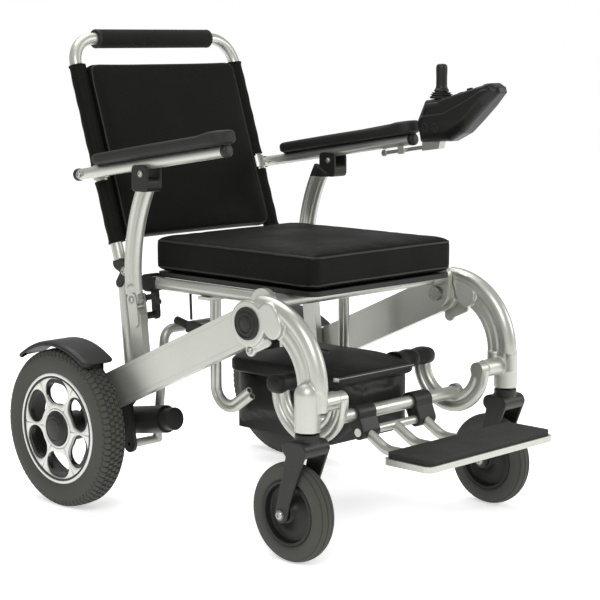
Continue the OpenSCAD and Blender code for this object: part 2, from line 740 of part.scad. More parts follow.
// Knuckles that the back turns on; they ride with the back.
module back_hinges() {
    color(black_plastic) placed() both_sides() difference() {
        slab(cane_x - cane_r + 2, cane_x + cane_r - 2)
            link(back_pivot, cane_foot + 8 * [sin(back_tilt), cos(back_tilt)], 13);
        rod_x(back_pivot, cane_x - 20, cane_x + 20, 5 + run_gap);
        translate([cane_x, cane_foot[0], cane_foot[1]]) rotate([-back_tilt, 0, 0]) translate([0, 0, 13.95])
            cylinder(h = 40, r = cane_r + 1);
    }
}

// ---------- arms ----------
// Places a shape drawn along +X from the arm tube's rear end.
module along_arm() translate([arm_x, arm_rear[0], arm_rear[1]]) rotate([-arm_angle, 0, 0])
    rotate([0, 0, -90]) children();
module arm_tube(side) {
    color(silver) placed() on_side(side) difference() {
        along_arm() rotate([0, 90, 0]) cylinder(h = arm_len, r = arm_tube_r);
        along_arm() translate([36, 0, 0]) rotate([0, 90, 0]) cylinder(h = arm_len, r = arm_tube_r - tube_wall);
        rod_x(arm_pin(), arm_x - 20, arm_x + 20, 6 + run_gap);
    }
    if (side > 0) color(silver) placed() along_arm() difference() {
        // Clamp that the controller's rod slides in.
        translate([386, -9, rod_drop - 7]) cube([16, 18, -arm_tube_r - rod_drop + 8]);
        translate([380, 0, rod_drop]) rotate([0, 90, 0]) cylinder(h = 30, r = 4 + run_gap);
        translate([380, 0, 0]) rotate([0, 90, 0]) cylinder(h = 30, r = arm_tube_r - 0.5);
    }
}
module arm_pad(side) {
    color(black_plastic) placed() on_side(side) along_arm() {
        translate([58, 0, arm_tube_r + 1.5]) pad_bar(376);
        for (x = [-10, arm_len]) translate([x, 0, 0]) rotate([0, 90, 0]) cylinder(h = 10, r = arm_tube_r + 1);
        // Feet between pad and tube, hollowed to the tube.
        difference() {
            for (x = [86, 250, 390]) translate([x, -6, arm_tube_r - 2]) cube([16, 12, 4.5]);
            rotate([0, 90, 0]) cylinder(h = arm_len, r = arm_tube_r + run_gap);
        }
    }
}
module pad_bar(l) {
    translate([l / 2, 0, 0]) linear_extrude(arm_pad_t) rounded(l, arm_pad_w, 20);
}
module armrest_post(side) {
    off = post_d / 2 - post_w / 2;
    a1 = asin((saddle_at[1] - 18 - post_centre[1]) / post_bend_r);
    a0 = asin((post_pivot[1] + 10 - post_centre[1]) / post_bend_r);
    color(silver) placed() on_side(side) {
        arc_x(post_x, post_centre, a0, a1) {
            for (s = [-1, 1]) translate([post_bend_r + s * off, 0]) circle(r = post_w / 2);
            translate([post_bend_r, 0]) square([2 * off, post_w - 5], center = true);
        }
        // Foot boss on the pivot.
        difference() {
            slab(post_x - post_w / 2, post_x + post_w / 2) link(post_pivot, [-127, 432], 13);
            rod_x(post_pivot, post_x - 20, post_x + 20, 5 + run_gap);
        }
        // Saddle: a floor, two cheeks beside the arm tube and the pin that carries it.
        saddle();
    }
}
module saddle() {
    c = arm_tube_r + 3;
    slab(arm_x - c - 5, arm_x + c + 5) translate([saddle_at[0] + 4, saddle_at[1] - 22]) rounded(44, 24, 8);
    for (x = [arm_x - c - 5, arm_x + c]) slab(x, x + 5)
        translate([saddle_at[0] + 4, saddle_at[1] - 6]) rounded(44, 44, 10);
}

// ---------- controller ----------
module pod_outline(inset) {
    pts = [[-436 - inset, 712 + inset], [-431 - inset, 752], [-452 - inset, 795 - inset],
        [-500, 801 - inset], [-608 + inset * 0.4, 831 - inset], [-626 + inset, 824 - inset],
        [-629 + inset, 812], [-546 + inset * 0.6, 733 + inset], [-512, 716 + inset]];
    polygon(pts);
}
module controller_housing() {
    color(black_plastic) placed() difference() {
        slab(arm_x - pod_w / 2, arm_x + pod_w / 2) pod_outline(0);
        slab(arm_x - pod_w / 2 + pod_wall, arm_x + pod_w / 2 - pod_wall) pod_outline(pod_wall);
        translate([arm_x, stick_pivot[0], 780]) cylinder(h = 40, r = 15);
        for (b = BUTTONS) on_panel(b[0], b[1]) translate([0, 0, -8]) cylinder(h = 20, r = b[2] + 0.25);
        // Charging and service sockets in the right face.
        for (y = [-458, -484]) rod_x([y, 742], arm_x - pod_w / 2 - 1, arm_x - pod_w / 2 + 1.6, 9);
    }
    // Lugs that carry the joystick's gimbal.
    color(black_plastic) placed() for (s = [-1, 1]) difference() {
        slab(arm_x + s * 18.5 - 2.5, arm_x + s * 18.5 + 2.5)
            translate([stick_pivot[0] - 5, 716]) square([10, stick_pivot[1] - 712]);
        rod_x(stick_pivot, arm_x - 30, arm_x + 30, 2.5 + run_gap);
    }
}
// Buttons: across, along the panel, radius.
BUTTONS = [[0, 30, 8], [0, 92, 6], [-15, 62, 6], [15, 62, 6]];
// Places a shape on the sloped top panel, Z outwards.
module on_panel(x, along) translate([arm_x + x, -500, 801]) rotate([-panel_angle, 0, 0])
    translate([0, -along, 0]) children();
module panel_button(i) {
    b = BUTTONS[i];
    color(black_rubber) placed() on_panel(b[0], b[1]) {
        translate([0, 0, -3]) cylinder(h = 5, r = b[2]);
        translate([0, 0, -4.6 - button_travel]) cylinder(h = 1.6, r = b[2] + 1);
        translate([0, 0, -4.6 - button_travel]) cylinder(h = 4, r = b[2] - 1);
    }
}
module controller_mount() {
    color(steel) placed() difference() {
        union() {
            along_arm() translate([350, 0, rod_drop]) rotate([0, 90, 0]) cylinder(h = 100, r = 4);
            along_arm() translate([340, 0, rod_drop]) rotate([0, 90, 0]) cylinder(h = 10, r = 7);
            slab(arm_x - 9, arm_x + 9) polygon([[-436, 694], [-478, 700], [-486, 730], [-436, 730]]);
        }
        slab(arm_x - 40, arm_x + 40) pod_outline(0);
    }
}
module joystick_boot() {
    color(black_rubber) placed() difference() {
        translate([arm_x, stick_pivot[0], 792]) {
            cylinder(h = 13, r = 23);
            cylinder(h = 16, r = 20);
            cylinder(h = 19, r = 17);
        }
        translate([arm_x, stick_pivot[0], 790]) cylinder(h = 24, r = 14.5);
        slab(arm_x - 40, arm_x + 40) translate([0, 0.05]) pod_outline(0);
    }
}
module joystick_gimbal() {
    color(steel) placed() difference() {
        union() {
            translate([arm_x, stick_pivot[0], stick_pivot[1] - 5]) cylinder(h = 10, r = 13);
            rod_x(stick_pivot, arm_x - 20, arm_x + 20, 2.5);
        }
        translate([arm_x, stick_pivot[0], stick_pivot[1] - 6]) cylinder(h = 12, r = 9);
        translate([arm_x, stick_pivot[0] + 20, stick_pivot[1]]) rotate([90, 0, 0])
            cylinder(h = 40, r = 2.5 + run_gap);
    }
}
module joystick() {
    color(black_plastic) placed() translate([arm_x, stick_pivot[0], stick_pivot[1]]) {
        rotate([90, 0, 0]) cylinder(h = 25, r = 2.5, center = true);
        translate([0, 0, -4]) cylinder(h = 46, r = 4.5);
        translate([0, 0, 32]) cylinder(h = 7, r = knob_r + 4);
        translate([0, 0, 39]) cylinder(h = 30, r = knob_r);
        translate([0, 0, 69]) sphere(r = knob_r);
    }
}

// ---------- locks ----------
// Curved lever that locks each post's foot.
module fold_lever(side) {
    x = post_x - post_w / 2 - 5.5;
    color(black_plastic) placed() on_side(side) difference() {
        slab(x - 6, x) {
            circle_at(post_pivot, 10);
            link(post_pivot + [-5, 1], post_pivot + [-34, 8], 5.5);
            link(post_pivot + [-34, 8], post_pivot + [-46, -2], 4.8);
        }
        rod_x(post_pivot, x - 7, x + 1, 5 + run_gap);
    }
}
module circle_at(p, r) translate(p) circle(r = r);

beam(-1);  // beam_right
beam(1);  // beam_left
seat_frame();
pivot_pins();
rear_uprights();
rear_cross_tube();
motor_plates();
gearboxes();
motors();
fenders();
bag_hangers();
seat_cushion();
seat_board();
seat_brackets();
wiring_plug();
rear_tyre(-1);  // rear_tyre_right
rear_tyre(1);  // rear_tyre_left
rear_rim(-1);  // rear_rim_right
rear_rim(1);  // rear_rim_left
rear_axle(-1);  // rear_axle_right
rear_axle(1);  // rear_axle_left
front_leg(-1);  // front_leg_right
front_leg(1);  // front_leg_left
hub_caps();
bag_rails();
lower_cross_tube();
battery_bag();
battery_pack();
bag_bar();
footrest_clamps();
caster_bearings();
caster_fork(-1);  // caster_fork_right
caster_fork(1);  // caster_fork_left
caster_tyre(-1);  // caster_tyre_right
caster_tyre(1);  // caster_tyre_left
caster_rim(-1);  // caster_rim_right
caster_rim(1);  // caster_rim_left
footrest_frame();
footplate_pad();
back_frame();
push_grip();
back_upholstery();
back_hinges();
arm_tube(-1);  // arm_tube_right
arm_tube(1);  // arm_tube_left
arm_pad(-1);  // arm_pad_right
arm_pad(1);  // arm_pad_left
armrest_post(-1);  // armrest_post_right
armrest_post(1);  // armrest_post_left
controller_housing();
controller_mount();
joystick_boot();
joystick_gimbal();
joystick();
panel_button(0);  // power_button
panel_button(1);  // horn_button
panel_button(2);  // faster_button
panel_button(3);  // slower_button
fold_lever(-1);  // fold_lever_right
fold_lever(1);  // fold_lever_left
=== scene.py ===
"""Looks of a folding power wheelchair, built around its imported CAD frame.

Every size is in metres, in the frame's own axes: the sitter faces -Y, +Z is up and +X is the
sitter's left. The rear axle is the fore-and-aft datum that the stations below are measured from.
"""

import json
import logging
import math
from dataclasses import dataclass, field
from enum import Enum

import bmesh
import bpy
import numpy as np
from mathutils import Matrix, Vector


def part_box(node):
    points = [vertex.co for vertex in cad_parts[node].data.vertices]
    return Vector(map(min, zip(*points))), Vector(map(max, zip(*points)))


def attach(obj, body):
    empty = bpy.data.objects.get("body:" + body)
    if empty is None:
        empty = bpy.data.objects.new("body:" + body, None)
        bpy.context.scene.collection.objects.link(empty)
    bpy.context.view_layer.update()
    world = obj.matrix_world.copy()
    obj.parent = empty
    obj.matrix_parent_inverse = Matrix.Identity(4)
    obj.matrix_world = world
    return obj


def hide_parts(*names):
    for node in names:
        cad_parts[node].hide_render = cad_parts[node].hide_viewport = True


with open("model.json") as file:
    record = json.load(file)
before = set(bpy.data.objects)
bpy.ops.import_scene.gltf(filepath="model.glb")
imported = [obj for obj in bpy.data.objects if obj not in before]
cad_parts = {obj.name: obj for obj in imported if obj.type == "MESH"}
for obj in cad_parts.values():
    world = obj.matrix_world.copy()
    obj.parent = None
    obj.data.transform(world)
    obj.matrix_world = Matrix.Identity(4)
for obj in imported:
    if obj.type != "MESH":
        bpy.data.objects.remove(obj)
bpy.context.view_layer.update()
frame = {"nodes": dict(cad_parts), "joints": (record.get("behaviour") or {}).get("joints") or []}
LOG = logging.getLogger("wheelchair")
MM = 0.001
TAU = 2 * math.pi


# ---------- colour and nodes ----------
def linear(code: str) -> tuple[float, float, float, float]:
    """Turn an sRGB hex colour into linear light.

    Args:
        code: colour such as "#C9CAC3".

    Returns:
        Linear red, green, blue and an alpha of 1.
    """
    rgb = np.array([int(code[i:i + 2], 16) for i in (1, 3, 5)]) / 255
    lin = np.where(rgb > 0.04045, ((rgb + 0.055) / 1.055) ** 2.4, rgb / 12.92)
    return (float(lin[0]), float(lin[1]), float(lin[2]), 1.0)


def add_node(tree: bpy.types.NodeTree, kind: str, settings: dict | None = None,
             links: dict | None = None) -> bpy.types.Node:
    """Add one node with its settings and incoming links.

    Args:
        tree: node tree to add to.
        kind: Blender's node type name.
        settings: attribute names, or input names and numbers, with their values.
        links: input name or number to the output socket that feeds it.

    Returns:
        The new node.
    """
    node = tree.nodes.new(kind)
    for key, value in (settings or {}).items():
        if isinstance(key, str) and hasattr(node, key):
            setattr(node, key, value)
        else:
            node.inputs[key].default_value = value
    for key, socket in (links or {}).items():
        tree.links.new(socket, node.inputs[key])
    return node


class Grain(Enum):
    """What the fine relief of a surface looks like."""

    FLAKE = "fine noise of a sprayed coat"
    LEATHER = "cells of embossed vinyl"
    SPARK = "spark-eroded mould texture"
    WEAVE = "crossing threads"
    BRUSHED = "long thin scratches"
    TURNED = "concentric lathe lines"
    FOAM = "open pores of foam rubber"


@dataclass(frozen=True)
class Finish:
    """One real surface finish, and how to draw it."""

    name: str
    base: str
    shade: str
    grain: Grain
    grain_mm: float
    roughness: float
    rough_spread: float = 0.08
    metallic: float = 0.0
    bump: float = 0.15
    coat: float = 0.0
    sheen: float = 0.0
    specular: float = 0.5
    wear: float = 0.25

    def relief(self, tree: bpy.types.NodeTree, place: bpy.types.NodeSocket) -> bpy.types.NodeSocket:
        """Make the height signal of this finish's grain.

        Args:
            tree: material's node tree.
            place: object coordinates.

        Returns:
            Socket with the height, about 0 to 1.
        """
        scale = 1 / (self.grain_mm * MM)
        if self.grain is Grain.LEATHER:
            cells = add_node(tree, "ShaderNodeTexVoronoi",
                             {"feature": "DISTANCE_TO_EDGE", "Scale": scale}, {"Vector": place})
            return add_node(tree, "ShaderNodeMapRange",
                            {"From Max": 0.22, "interpolation_type": "SMOOTHSTEP"},
                            {"Value": cells.outputs["Distance"]}).outputs["Result"]
        if self.grain is Grain.WEAVE:
            warp = add_node(tree, "ShaderNodeTexWave",
                            {"bands_direction": "X", "Scale": scale / 6.2832, "Distortion": 0.4},
                            {"Vector": place})
            weft = add_node(tree, "ShaderNodeTexWave",
                            {"bands_direction": "Z", "Scale": scale / 6.2832, "Distortion": 0.4},
                            {"Vector": place})
            return add_node(tree, "ShaderNodeMath", {"operation": "MULTIPLY"},
                            {0: warp.outputs["Fac"], 1: weft.outputs["Fac"]}).outputs["Value"]
        if self.grain in (Grain.BRUSHED, Grain.TURNED):
            stretch = (1.0, 0.06, 0.06) if self.grain is Grain.TURNED else (0.06, 1.0, 1.0)
            mapped = add_node(tree, "ShaderNodeMapping", {"Scale": stretch}, {"Vector": place})
            return add_node(tree, "ShaderNodeTexNoise", {"Scale": scale, "Detail": 4.0},
                            {"Vector": mapped.outputs["Vector"]}).outputs["Fac"]
        detail = 6.0 if self.grain is Grain.SPARK else 3.0
        return add_node(tree, "ShaderNodeTexNoise", {"Scale": scale, "Detail": detail,
                                                     "Roughness": 0.6},
                        {"Vector": place}).outputs["Fac"]

    def material(self) -> bpy.types.Material:
        """Build this finish, or give back the one already built.

        Returns:
            The Blender material.
        """
        known = bpy.data.materials.get(self.name)
        if known:
            return known
        mat = bpy.data.materials.new(self.name)
        mat.use_nodes = True
        tree = mat.node_tree
        tree.nodes.clear()
        place = add_node(tree, "ShaderNodeTexCoord").outputs["Object"]
        height = self.relief(tree, place)
        clouds = add_node(tree, "ShaderNodeTexNoise", {"Scale": 9.0, "Detail": 5.0},
                          {"Vector": place}).outputs["Fac"]
        blend = add_node(tree, "ShaderNodeMath", {"operation": "MULTIPLY_ADD", 1: self.wear,
                                                  2: 0.5 - self.wear / 2}, {0: clouds})
        both = add_node(tree, "ShaderNodeMath", {"operation": "MULTIPLY_ADD", 1: 0.3},
                        {0: height, 2: blend.outputs["Value"]})
        colour = add_node(tree, "ShaderNodeMix", {"data_type": "RGBA", "clamp_factor": True,
                                                  6: linear(self.shade), 7: linear(self.base)},
                          {0: both.outputs["Value"]})
        rough = add_node(tree, "ShaderNodeMapRange",
                         {"From Min": 0.3, "From Max": 0.7,
                          "To Min": max(0.05, self.roughness - self.rough_spread),
                          "To Max": min(1.0, self.roughness + self.rough_spread)},
                         {"Value": clouds})
        bump = add_node(tree, "ShaderNodeBump", {"Strength": self.bump,
                                                 "Distance": 0.25 * self.grain_mm * MM},
                        {"Height": height})
        shader = add_node(tree, "ShaderNodeBsdfPrincipled",
                          {"Metallic": self.metallic, "Coat Weight": self.coat,
                           "Coat Roughness": 0.25, "Sheen Weight": self.sheen,
                           "Specular IOR Level": self.specular},
                          {"Base Color": colour.outputs[2], "Roughness": rough.outputs["Result"],
                           "Normal": bump.outputs["Normal"]})
        add_node(tree, "ShaderNodeOutputMaterial", None, {"Surface": shader.outputs["BSDF"]})
        return mat


# Powder-coated aluminium: pale warm silver with a fine metal flake and a soft broad highlight.
SILVER = Finish("powder_coated_aluminium", "#C2C3BB", "#A4A59D", Grain.FLAKE, 1.2, 0.36,
                metallic=0.74, bump=0.06, coat=0.1)
# A darker, duller silver. On the cross tube it is painted shade: the tube is frame silver, drawn a shade
# darker than the frame for the shadow it lies in under the seat. On the zip teeth it is their own grey.
GREY_AND_PAINTED_SHADE = Finish("grey_zip_and_painted_shade_tube", "#B2B3AC", "#94958E", Grain.FLAKE, 1.4, 0.42, metallic=0.6,
              bump=0.05)
# Embossed upholstery vinyl: near black, with a low grain that breaks up its highlight.
VINYL = Finish("embossed_vinyl", "#131511", "#0B0D09", Grain.LEATHER, 2.6, 0.52, bump=0.3,
               specular=0.07, wear=0.35)
# The same vinyl pulled over piping cord.
PIPING = Finish("vinyl_piping", "#22241F", "#161814", Grain.LEATHER, 1.4, 0.42, bump=0.2,
                specular=0.3)
# Moulded ABS: dark grey-green black with spark-eroded matt texture.
PLASTIC = Finish("moulded_abs", "#1F211D", "#131511", Grain.SPARK, 1.6, 0.44, bump=0.1,
                 specular=0.3)
# The controller's case: a little smoother and greyer than the other plastics.
CASE = Finish("controller_abs", "#141613", "#0C0E0A", Grain.SPARK, 1.2, 0.36, bump=0.05,
              specular=0.3)
# Tyre rubber: dull, with brown-grey bloom.
TYRE = Finish("tyre_rubber", "#2B2D27", "#1A1C17", Grain.SPARK, 2.4, 0.75, bump=0.16,
              specular=0.25, wear=0.5)
# Moulded soft rubber of pads, boots and buttons.
RUBBER = Finish("soft_rubber", "#22241F", "#161814", Grain.SPARK, 1.1, 0.58, bump=0.1,
                specular=0.28)
# Closed-cell foam of the push grip.
FOAM = Finish("foam_grip", "#191B17", "#0F110D", Grain.FOAM, 1.8, 0.8, bump=0.35, specular=0.2)
# Coated nylon of the bag. Its threads are drawn about twice as coarse as they are, to show.
NYLON = Finish("coated_nylon", "#171915", "#0D0F0B", Grain.WEAVE, 1.8, 0.5, bump=0.3,
               sheen=0.03, specular=0.25, wear=0.35)
# Zinc-plated screws and pins.
ZINC = Finish("zinc_plated_steel", "#B4B5B0", "#858680", Grain.BRUSHED, 1.2, 0.32, metallic=0.92,
              bump=0.06)
# Cast wheel with turned faces under a clear coat.
RIM = Finish("turned_alloy", "#D3D4CE", "#BFC0BA", Grain.TURNED, 1.6, 0.36, metallic=0.7,
             bump=0.03, coat=0.1)
# Black-painted castings of the drive and forks.
CASTING = Finish("black_painted_casting", "#1E201C", "#131511", Grain.FLAKE, 1.5, 0.42,
                 metallic=0.0, bump=0.1, specular=0.35)


# ---------- mesh making ----------
def mesh_piece(name: str, points: np.ndarray, faces: np.ndarray, finish: Finish,
               sharp_deg: float = 38.0) -> bpy.types.Object:
    """Make an object from arrays of points and quads, with closed poles and outward faces.

    Args:
        name: object name.
        points: (n, 3) positions in metres.
        faces: (m, 4) point indices.
        finish: surface finish.
        sharp_deg: edges steeper than this stay crisp.

    Returns:
        The new object, at the origin.
    """
    mesh = bpy.data.meshes.new(name)
    mesh.from_pydata(points.reshape(-1, 3).tolist(), [], faces.reshape(-1, 4).tolist())
    work = bmesh.new()
    work.from_mesh(mesh)
    bmesh.ops.remove_doubles(work, verts=work.verts, dist=1e-6)
    bmesh.ops.recalc_face_normals(work, faces=work.faces)
    work.to_mesh(mesh)
    work.free()
    return dress(name, mesh, finish, sharp_deg)


def dress(name: str, mesh: bpy.types.Mesh, finish: Finish,
          sharp_deg: float = 38.0) -> bpy.types.Object:
    """Link a mesh as an object, smooth it and give it its finish.

    Args:
        name: object name.
        mesh: finished mesh.
        finish: surface finish.
        sharp_deg: edges steeper than this stay crisp.

    Returns:
        The new object.
    """
    mesh.materials.clear()
    mesh.materials.append(finish.material())
    mesh.shade_smooth()
    mesh.set_sharp_from_angle(angle=math.radians(sharp_deg))
    piece = bpy.data.objects.new(name, mesh)
    bpy.context.scene.collection.objects.link(piece)
    return piece


def grid_faces(rows: int, cols: int, wrap_rows: bool = False, wrap_cols: bool = False) -> np.ndarray:
    """Quads that join a rows by cols grid of points.

    Args:
        rows: points along the first parameter.
        cols: points along the second parameter.
        wrap_rows: join the last row to the first.
        wrap_cols: join the last column to the first.

    Returns:
        (n, 4) indices.
    """
    i, k = np.meshgrid(np.arange(rows if wrap_rows else rows - 1),
                       np.arange(cols if wrap_cols else cols - 1), indexing="ij")
    i2, k2 = (i + 1) % rows, (k + 1) % cols
    return np.stack([i * cols + k, i2 * cols + k, i2 * cols + k2, i * cols + k2], -1).reshape(-1, 4)


def fillet(points: list[tuple[float, float, float]], steps: int = 5) -> np.ndarray:
    """Round the corners of an open outline, each by its own radius.

    Each corner becomes a quadratic curve whose ends lie the radius away along both sides.

    Args:
        points: (first, second, radius) of each corner, in millimetres.
        steps: points in each rounded corner.

    Returns:
        (n, 2) outline in metres.
    """
    p = np.array([q[:2] for q in points], float)
    out = [p[0][None]]
    t = np.linspace(0, 1, steps)[:, None]
    for k in range(1, len(p) - 1):
        before, after = p[k - 1] - p[k], p[k + 1] - p[k]
        reach = min(points[k][2], np.linalg.norm(before) * 0.49, np.linalg.norm(after) * 0.49)
        a = p[k] + before / np.linalg.norm(before) * reach
        b = p[k] + after / np.linalg.norm(after) * reach
        out.append((1 - t) ** 2 * a + 2 * t * (1 - t) * p[k] + t ** 2 * b if reach > 0
                   else p[k][None])
    out.append(p[-1][None])
    return np.concatenate(out) * MM


def lathe(name: str, outline: np.ndarray, centre: Vector, finish: Finish, segments: int = 96,
          axis: str = "X", relief: np.ndarray | None = None, closed: bool = False) -> bpy.types.Object:
    """Turn an outline of (along, radius) about an axis through a centre.

    Point (u, v) is centre + along(v) on the axis + radius(v) at the angle u around it. The
    relief, if given, is taken off the radius.

    Args:
        name: object name.
        outline: (n, 2) of distance along the axis and radius, in metres.
        centre: a point on the axis.
        finish: surface finish.
        segments: points around.
        axis: "X" or "Z".
        relief: (segments, n) depth in metres.
        closed: join the outline's end to its start.

    Returns:
        The new object.
    """
    turn = np.arange(segments)[:, None] * TAU / segments
    radius = outline[None, :, 1] - (0 if relief is None else relief)
    along = np.broadcast_to(outline[None, :, 0], (segments, len(outline)))
    cos, sin = np.cos(turn) * radius, np.sin(turn) * radius
    points = np.stack([along, cos, sin] if axis == "X" else [cos, sin, along], -1)
    return mesh_piece(name, points + np.array(centre), grid_faces(segments, len(outline), True, closed),
                      finish)


def sweep(path: np.ndarray, across: np.ndarray, width: np.ndarray, depth: np.ndarray,
          segments: int = 20, power: float = 2.0) -> tuple[np.ndarray, np.ndarray]:
    """Carry a rounded section along a path, with closed round ends.

    The section is a superellipse of half sizes width (along `across`) and depth (square to it
    and to the path). Two extra stations shrink to a point at each end.

    Args:
        path: (n, 3) points.
        across: direction of the section's width, one for the whole path.
        width: half width at each point.
        depth: half depth at each point.
        segments: points around.
        power: 2 is an ellipse, 4 is nearly a rectangle.

    Returns:
        Points and faces.
    """
    tangent = np.gradient(path, axis=0)
    tangent /= np.linalg.norm(tangent, axis=1, keepdims=True)
    side = np.broadcast_to(across / np.linalg.norm(across), path.shape)
    up = np.cross(tangent, side)
    up /= np.linalg.norm(up, axis=1, keepdims=True)
    u = np.arange(segments) * TAU / segments
    c = np.sign(np.cos(u)) * np.abs(np.cos(u)) ** (2 / power)
    s = np.sign(np.sin(u)) * np.abs(np.sin(u)) ** (2 / power)
    rings = (path[:, None] + side[:, None] * (width[:, None] * c)[..., None]
             + up[:, None] * (depth[:, None] * s)[..., None])
    rings = np.concatenate([np.repeat(path[:1, None], segments, 1), rings,
                            np.repeat(path[-1:, None], segments, 1)])
    return rings, grid_faces(len(path) + 2, segments, False, True)


def rounded_rectangle(half_x: float, half_y: float, radius: float, count: int = 96) -> np.ndarray:
    """Outline of a rectangle with round corners, evenly spaced.

    Args:
        half_x: half size along the first axis.
        half_y: half size along the second axis.
        radius: corner radius.
        count: points around.

    Returns:
        (count, 2) points.
    """
    corners = []
    for k, (sx, sy) in enumerate(((1, 1), (-1, 1), (-1, -1), (1, -1))):
        a = np.linspace(k, k + 1, 9) * math.pi / 2
        corners.append(np.stack([sx * (half_x - radius) + radius * np.cos(a),
                                 sy * (half_y - radius) + radius * np.sin(a)], -1))
    loop = np.concatenate(corners + [corners[0][:1]])
    reach = np.concatenate([[0], np.cumsum(np.linalg.norm(np.diff(loop, axis=0), axis=1))])
    even = np.linspace(0, reach[-1], count, endpoint=False)
    return np.stack([np.interp(even, reach, loop[:, 0]), np.interp(even, reach, loop[:, 1])], -1)


def pad_form(half_x: float, half_y: float, corner: float, low: float, high: float, edge: float,
             crown: float, count: int = 96) -> tuple[np.ndarray, np.ndarray]:
    """A closed pad: an outline carried over a rounded side profile, crowned on top.

    The profile runs from the middle of the underside, round both edges, to the middle of the
    top. Height gains crown * (1 - x^2) * (1 - y^2) on the top face.

    Args:
        half_x: half width.
        half_y: half depth.
        corner: corner radius in plan.
        low: height of the underside.
        high: height of the top at its edge.
        edge: rounding of the top and bottom edges.
        crown: rise of the top's middle.
        count: points around.

    Returns:
        Points and faces.
    """
    loop = rounded_rectangle(half_x, half_y, corner, count)
    a = np.linspace(0, math.pi / 2, 6)
    far = edge + (min(half_x, half_y) - edge) * np.linspace(0.999, 0.12, 8)
    turn, rise = edge * (1 - np.sin(a)), edge * (1 - np.cos(a))
    inset = np.concatenate([far, turn, turn[::-1], far[::-1]])[:, None]
    z = np.concatenate([np.full(8, low), low + rise, high - rise[::-1], np.full(8, high)])[:, None]
    x = loop[None, :, 0] * (half_x - inset) / half_x
    y = loop[None, :, 1] * (half_y - inset) / half_y
    top = (z > (low + high) / 2) * np.clip(1 - (x / half_x) ** 2, 0, 1) * np.clip(
        1 - (y / half_y) ** 2, 0, 1)
    points = np.stack([x, y, z + crown * top], -1)
    lids = [points[:1].mean(1, keepdims=True).repeat(count, 1), points,
            points[-1:].mean(1, keepdims=True).repeat(count, 1)]
    return np.concatenate(lids), grid_faces(len(inset) + 2, count, False, True)


def points_of(piece: bpy.types.Object) -> np.ndarray:
    """The (n, 3) points of a piece's mesh."""
    co = np.empty(len(piece.data.vertices) * 3)
    piece.data.vertices.foreach_get("co", co)
    return co.reshape(-1, 3)


def put_points(piece: bpy.types.Object, co: np.ndarray) -> None:
    """Write (n, 3) points back to a piece's mesh."""
    piece.data.vertices.foreach_set("co", co.ravel())
    piece.data.update()


def evaluated_copy(piece: bpy.types.Object) -> bpy.types.Mesh:
    """Give the mesh that a piece's modifiers make, as a mesh of its own."""
    shown = piece.evaluated_get(bpy.context.evaluated_depsgraph_get())
    return bpy.data.meshes.new_from_object(shown)


def replace_mesh(piece: bpy.types.Object, mesh: bpy.types.Mesh) -> None:
    """Put a finished mesh in a piece and drop its modifiers."""
    old = piece.data
    piece.modifiers.clear()
    piece.data = mesh
    bpy.data.meshes.remove(old)


def casting(name: str, node: str, finish: Finish, voxel_mm: float = 1.6,
            smooth: int = 6) -> bpy.types.Object:
    """Make a cast copy of a CAD node: the same shape with small fillets all over.

    Args:
        name: object name.
        node: CAD node that it stands for.
        finish: surface finish.
        voxel_mm: remesh size, which sets the fillets.
        smooth: rounds of smoothing.

    Returns:
        The new object.
    """
    mesh = frame["nodes"][node].data.copy()
    work = bmesh.new()
    work.from_mesh(mesh)
    bmesh.ops.remove_doubles(work, verts=work.verts, dist=1e-6)
    work.to_mesh(mesh)
    work.free()
    piece = dress(name, mesh, finish)
    skin = piece.modifiers.new("skin", "REMESH")
    skin.mode = "VOXEL"
    skin.voxel_size = voxel_mm * MM * 1
    soften = piece.modifiers.new("soften", "SMOOTH")
    soften.iterations = smooth
    soften.factor = 0.5
    made = evaluated_copy(piece)
    made.shade_smooth()
    replace_mesh(piece, made)
    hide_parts(node)
    return piece


def inflate(piece: bpy.types.Object, cap_mm: float, voxel_mm: float = 6.0, pressure: float = 4.0) -> None:
    """Swell a padded form by a short cloth simulation, and keep the result.

    The form is remeshed, blown up by an even pressure with no gravity for 20 frames, and no
    point may move further than the cap. One subdivision smooths it.

    Args:
        piece: closed form, a little smaller than the finished pad.
        cap_mm: furthest that a point may move.
        voxel_mm: remesh size.
        pressure: cloth pressure.
    """
    skin = piece.modifiers.new("skin", "REMESH")
    skin.mode = "VOXEL"
    skin.voxel_size = voxel_mm * MM
    replace_mesh(piece, evaluated_copy(piece))
    start = np.empty(len(piece.data.vertices) * 3)
    piece.data.vertices.foreach_get("co", start)
    cloth = piece.modifiers.new("cloth", "CLOTH")
    cloth.settings.use_pressure = True
    cloth.settings.uniform_pressure_force = pressure
    cloth.settings.effector_weights.gravity = 0.0
    cloth.settings.quality = 5
    cloth.point_cache.frame_start = 1
    cloth.point_cache.frame_end = 20
    for step in range(1, 21):
        bpy.context.scene.frame_set(step)
    made = evaluated_copy(piece)
    bpy.context.scene.frame_set(1)
    end = np.empty_like(start)
    made.vertices.foreach_get("co", end)
    start, end = start.reshape(-1, 3), end.reshape(-1, 3)
    move = end - start
    far = np.linalg.norm(move, axis=1, keepdims=True)
    move *= np.minimum(1, cap_mm * MM / np.maximum(far, 1e-9))
    made.vertices.foreach_set("co", (start + move).ravel())
    replace_mesh(piece, made)
    finer = piece.modifiers.new("finer", "SUBSURF")
    finer.levels = finer.render_levels = 1
    made = evaluated_copy(piece)
    made.shade_smooth()
    replace_mesh(piece, made)


def move_points(piece: bpy.types.Object, matrix: Matrix) -> None:
    """Place a piece by its mesh, leaving the object at the origin."""
    piece.data.transform(matrix)


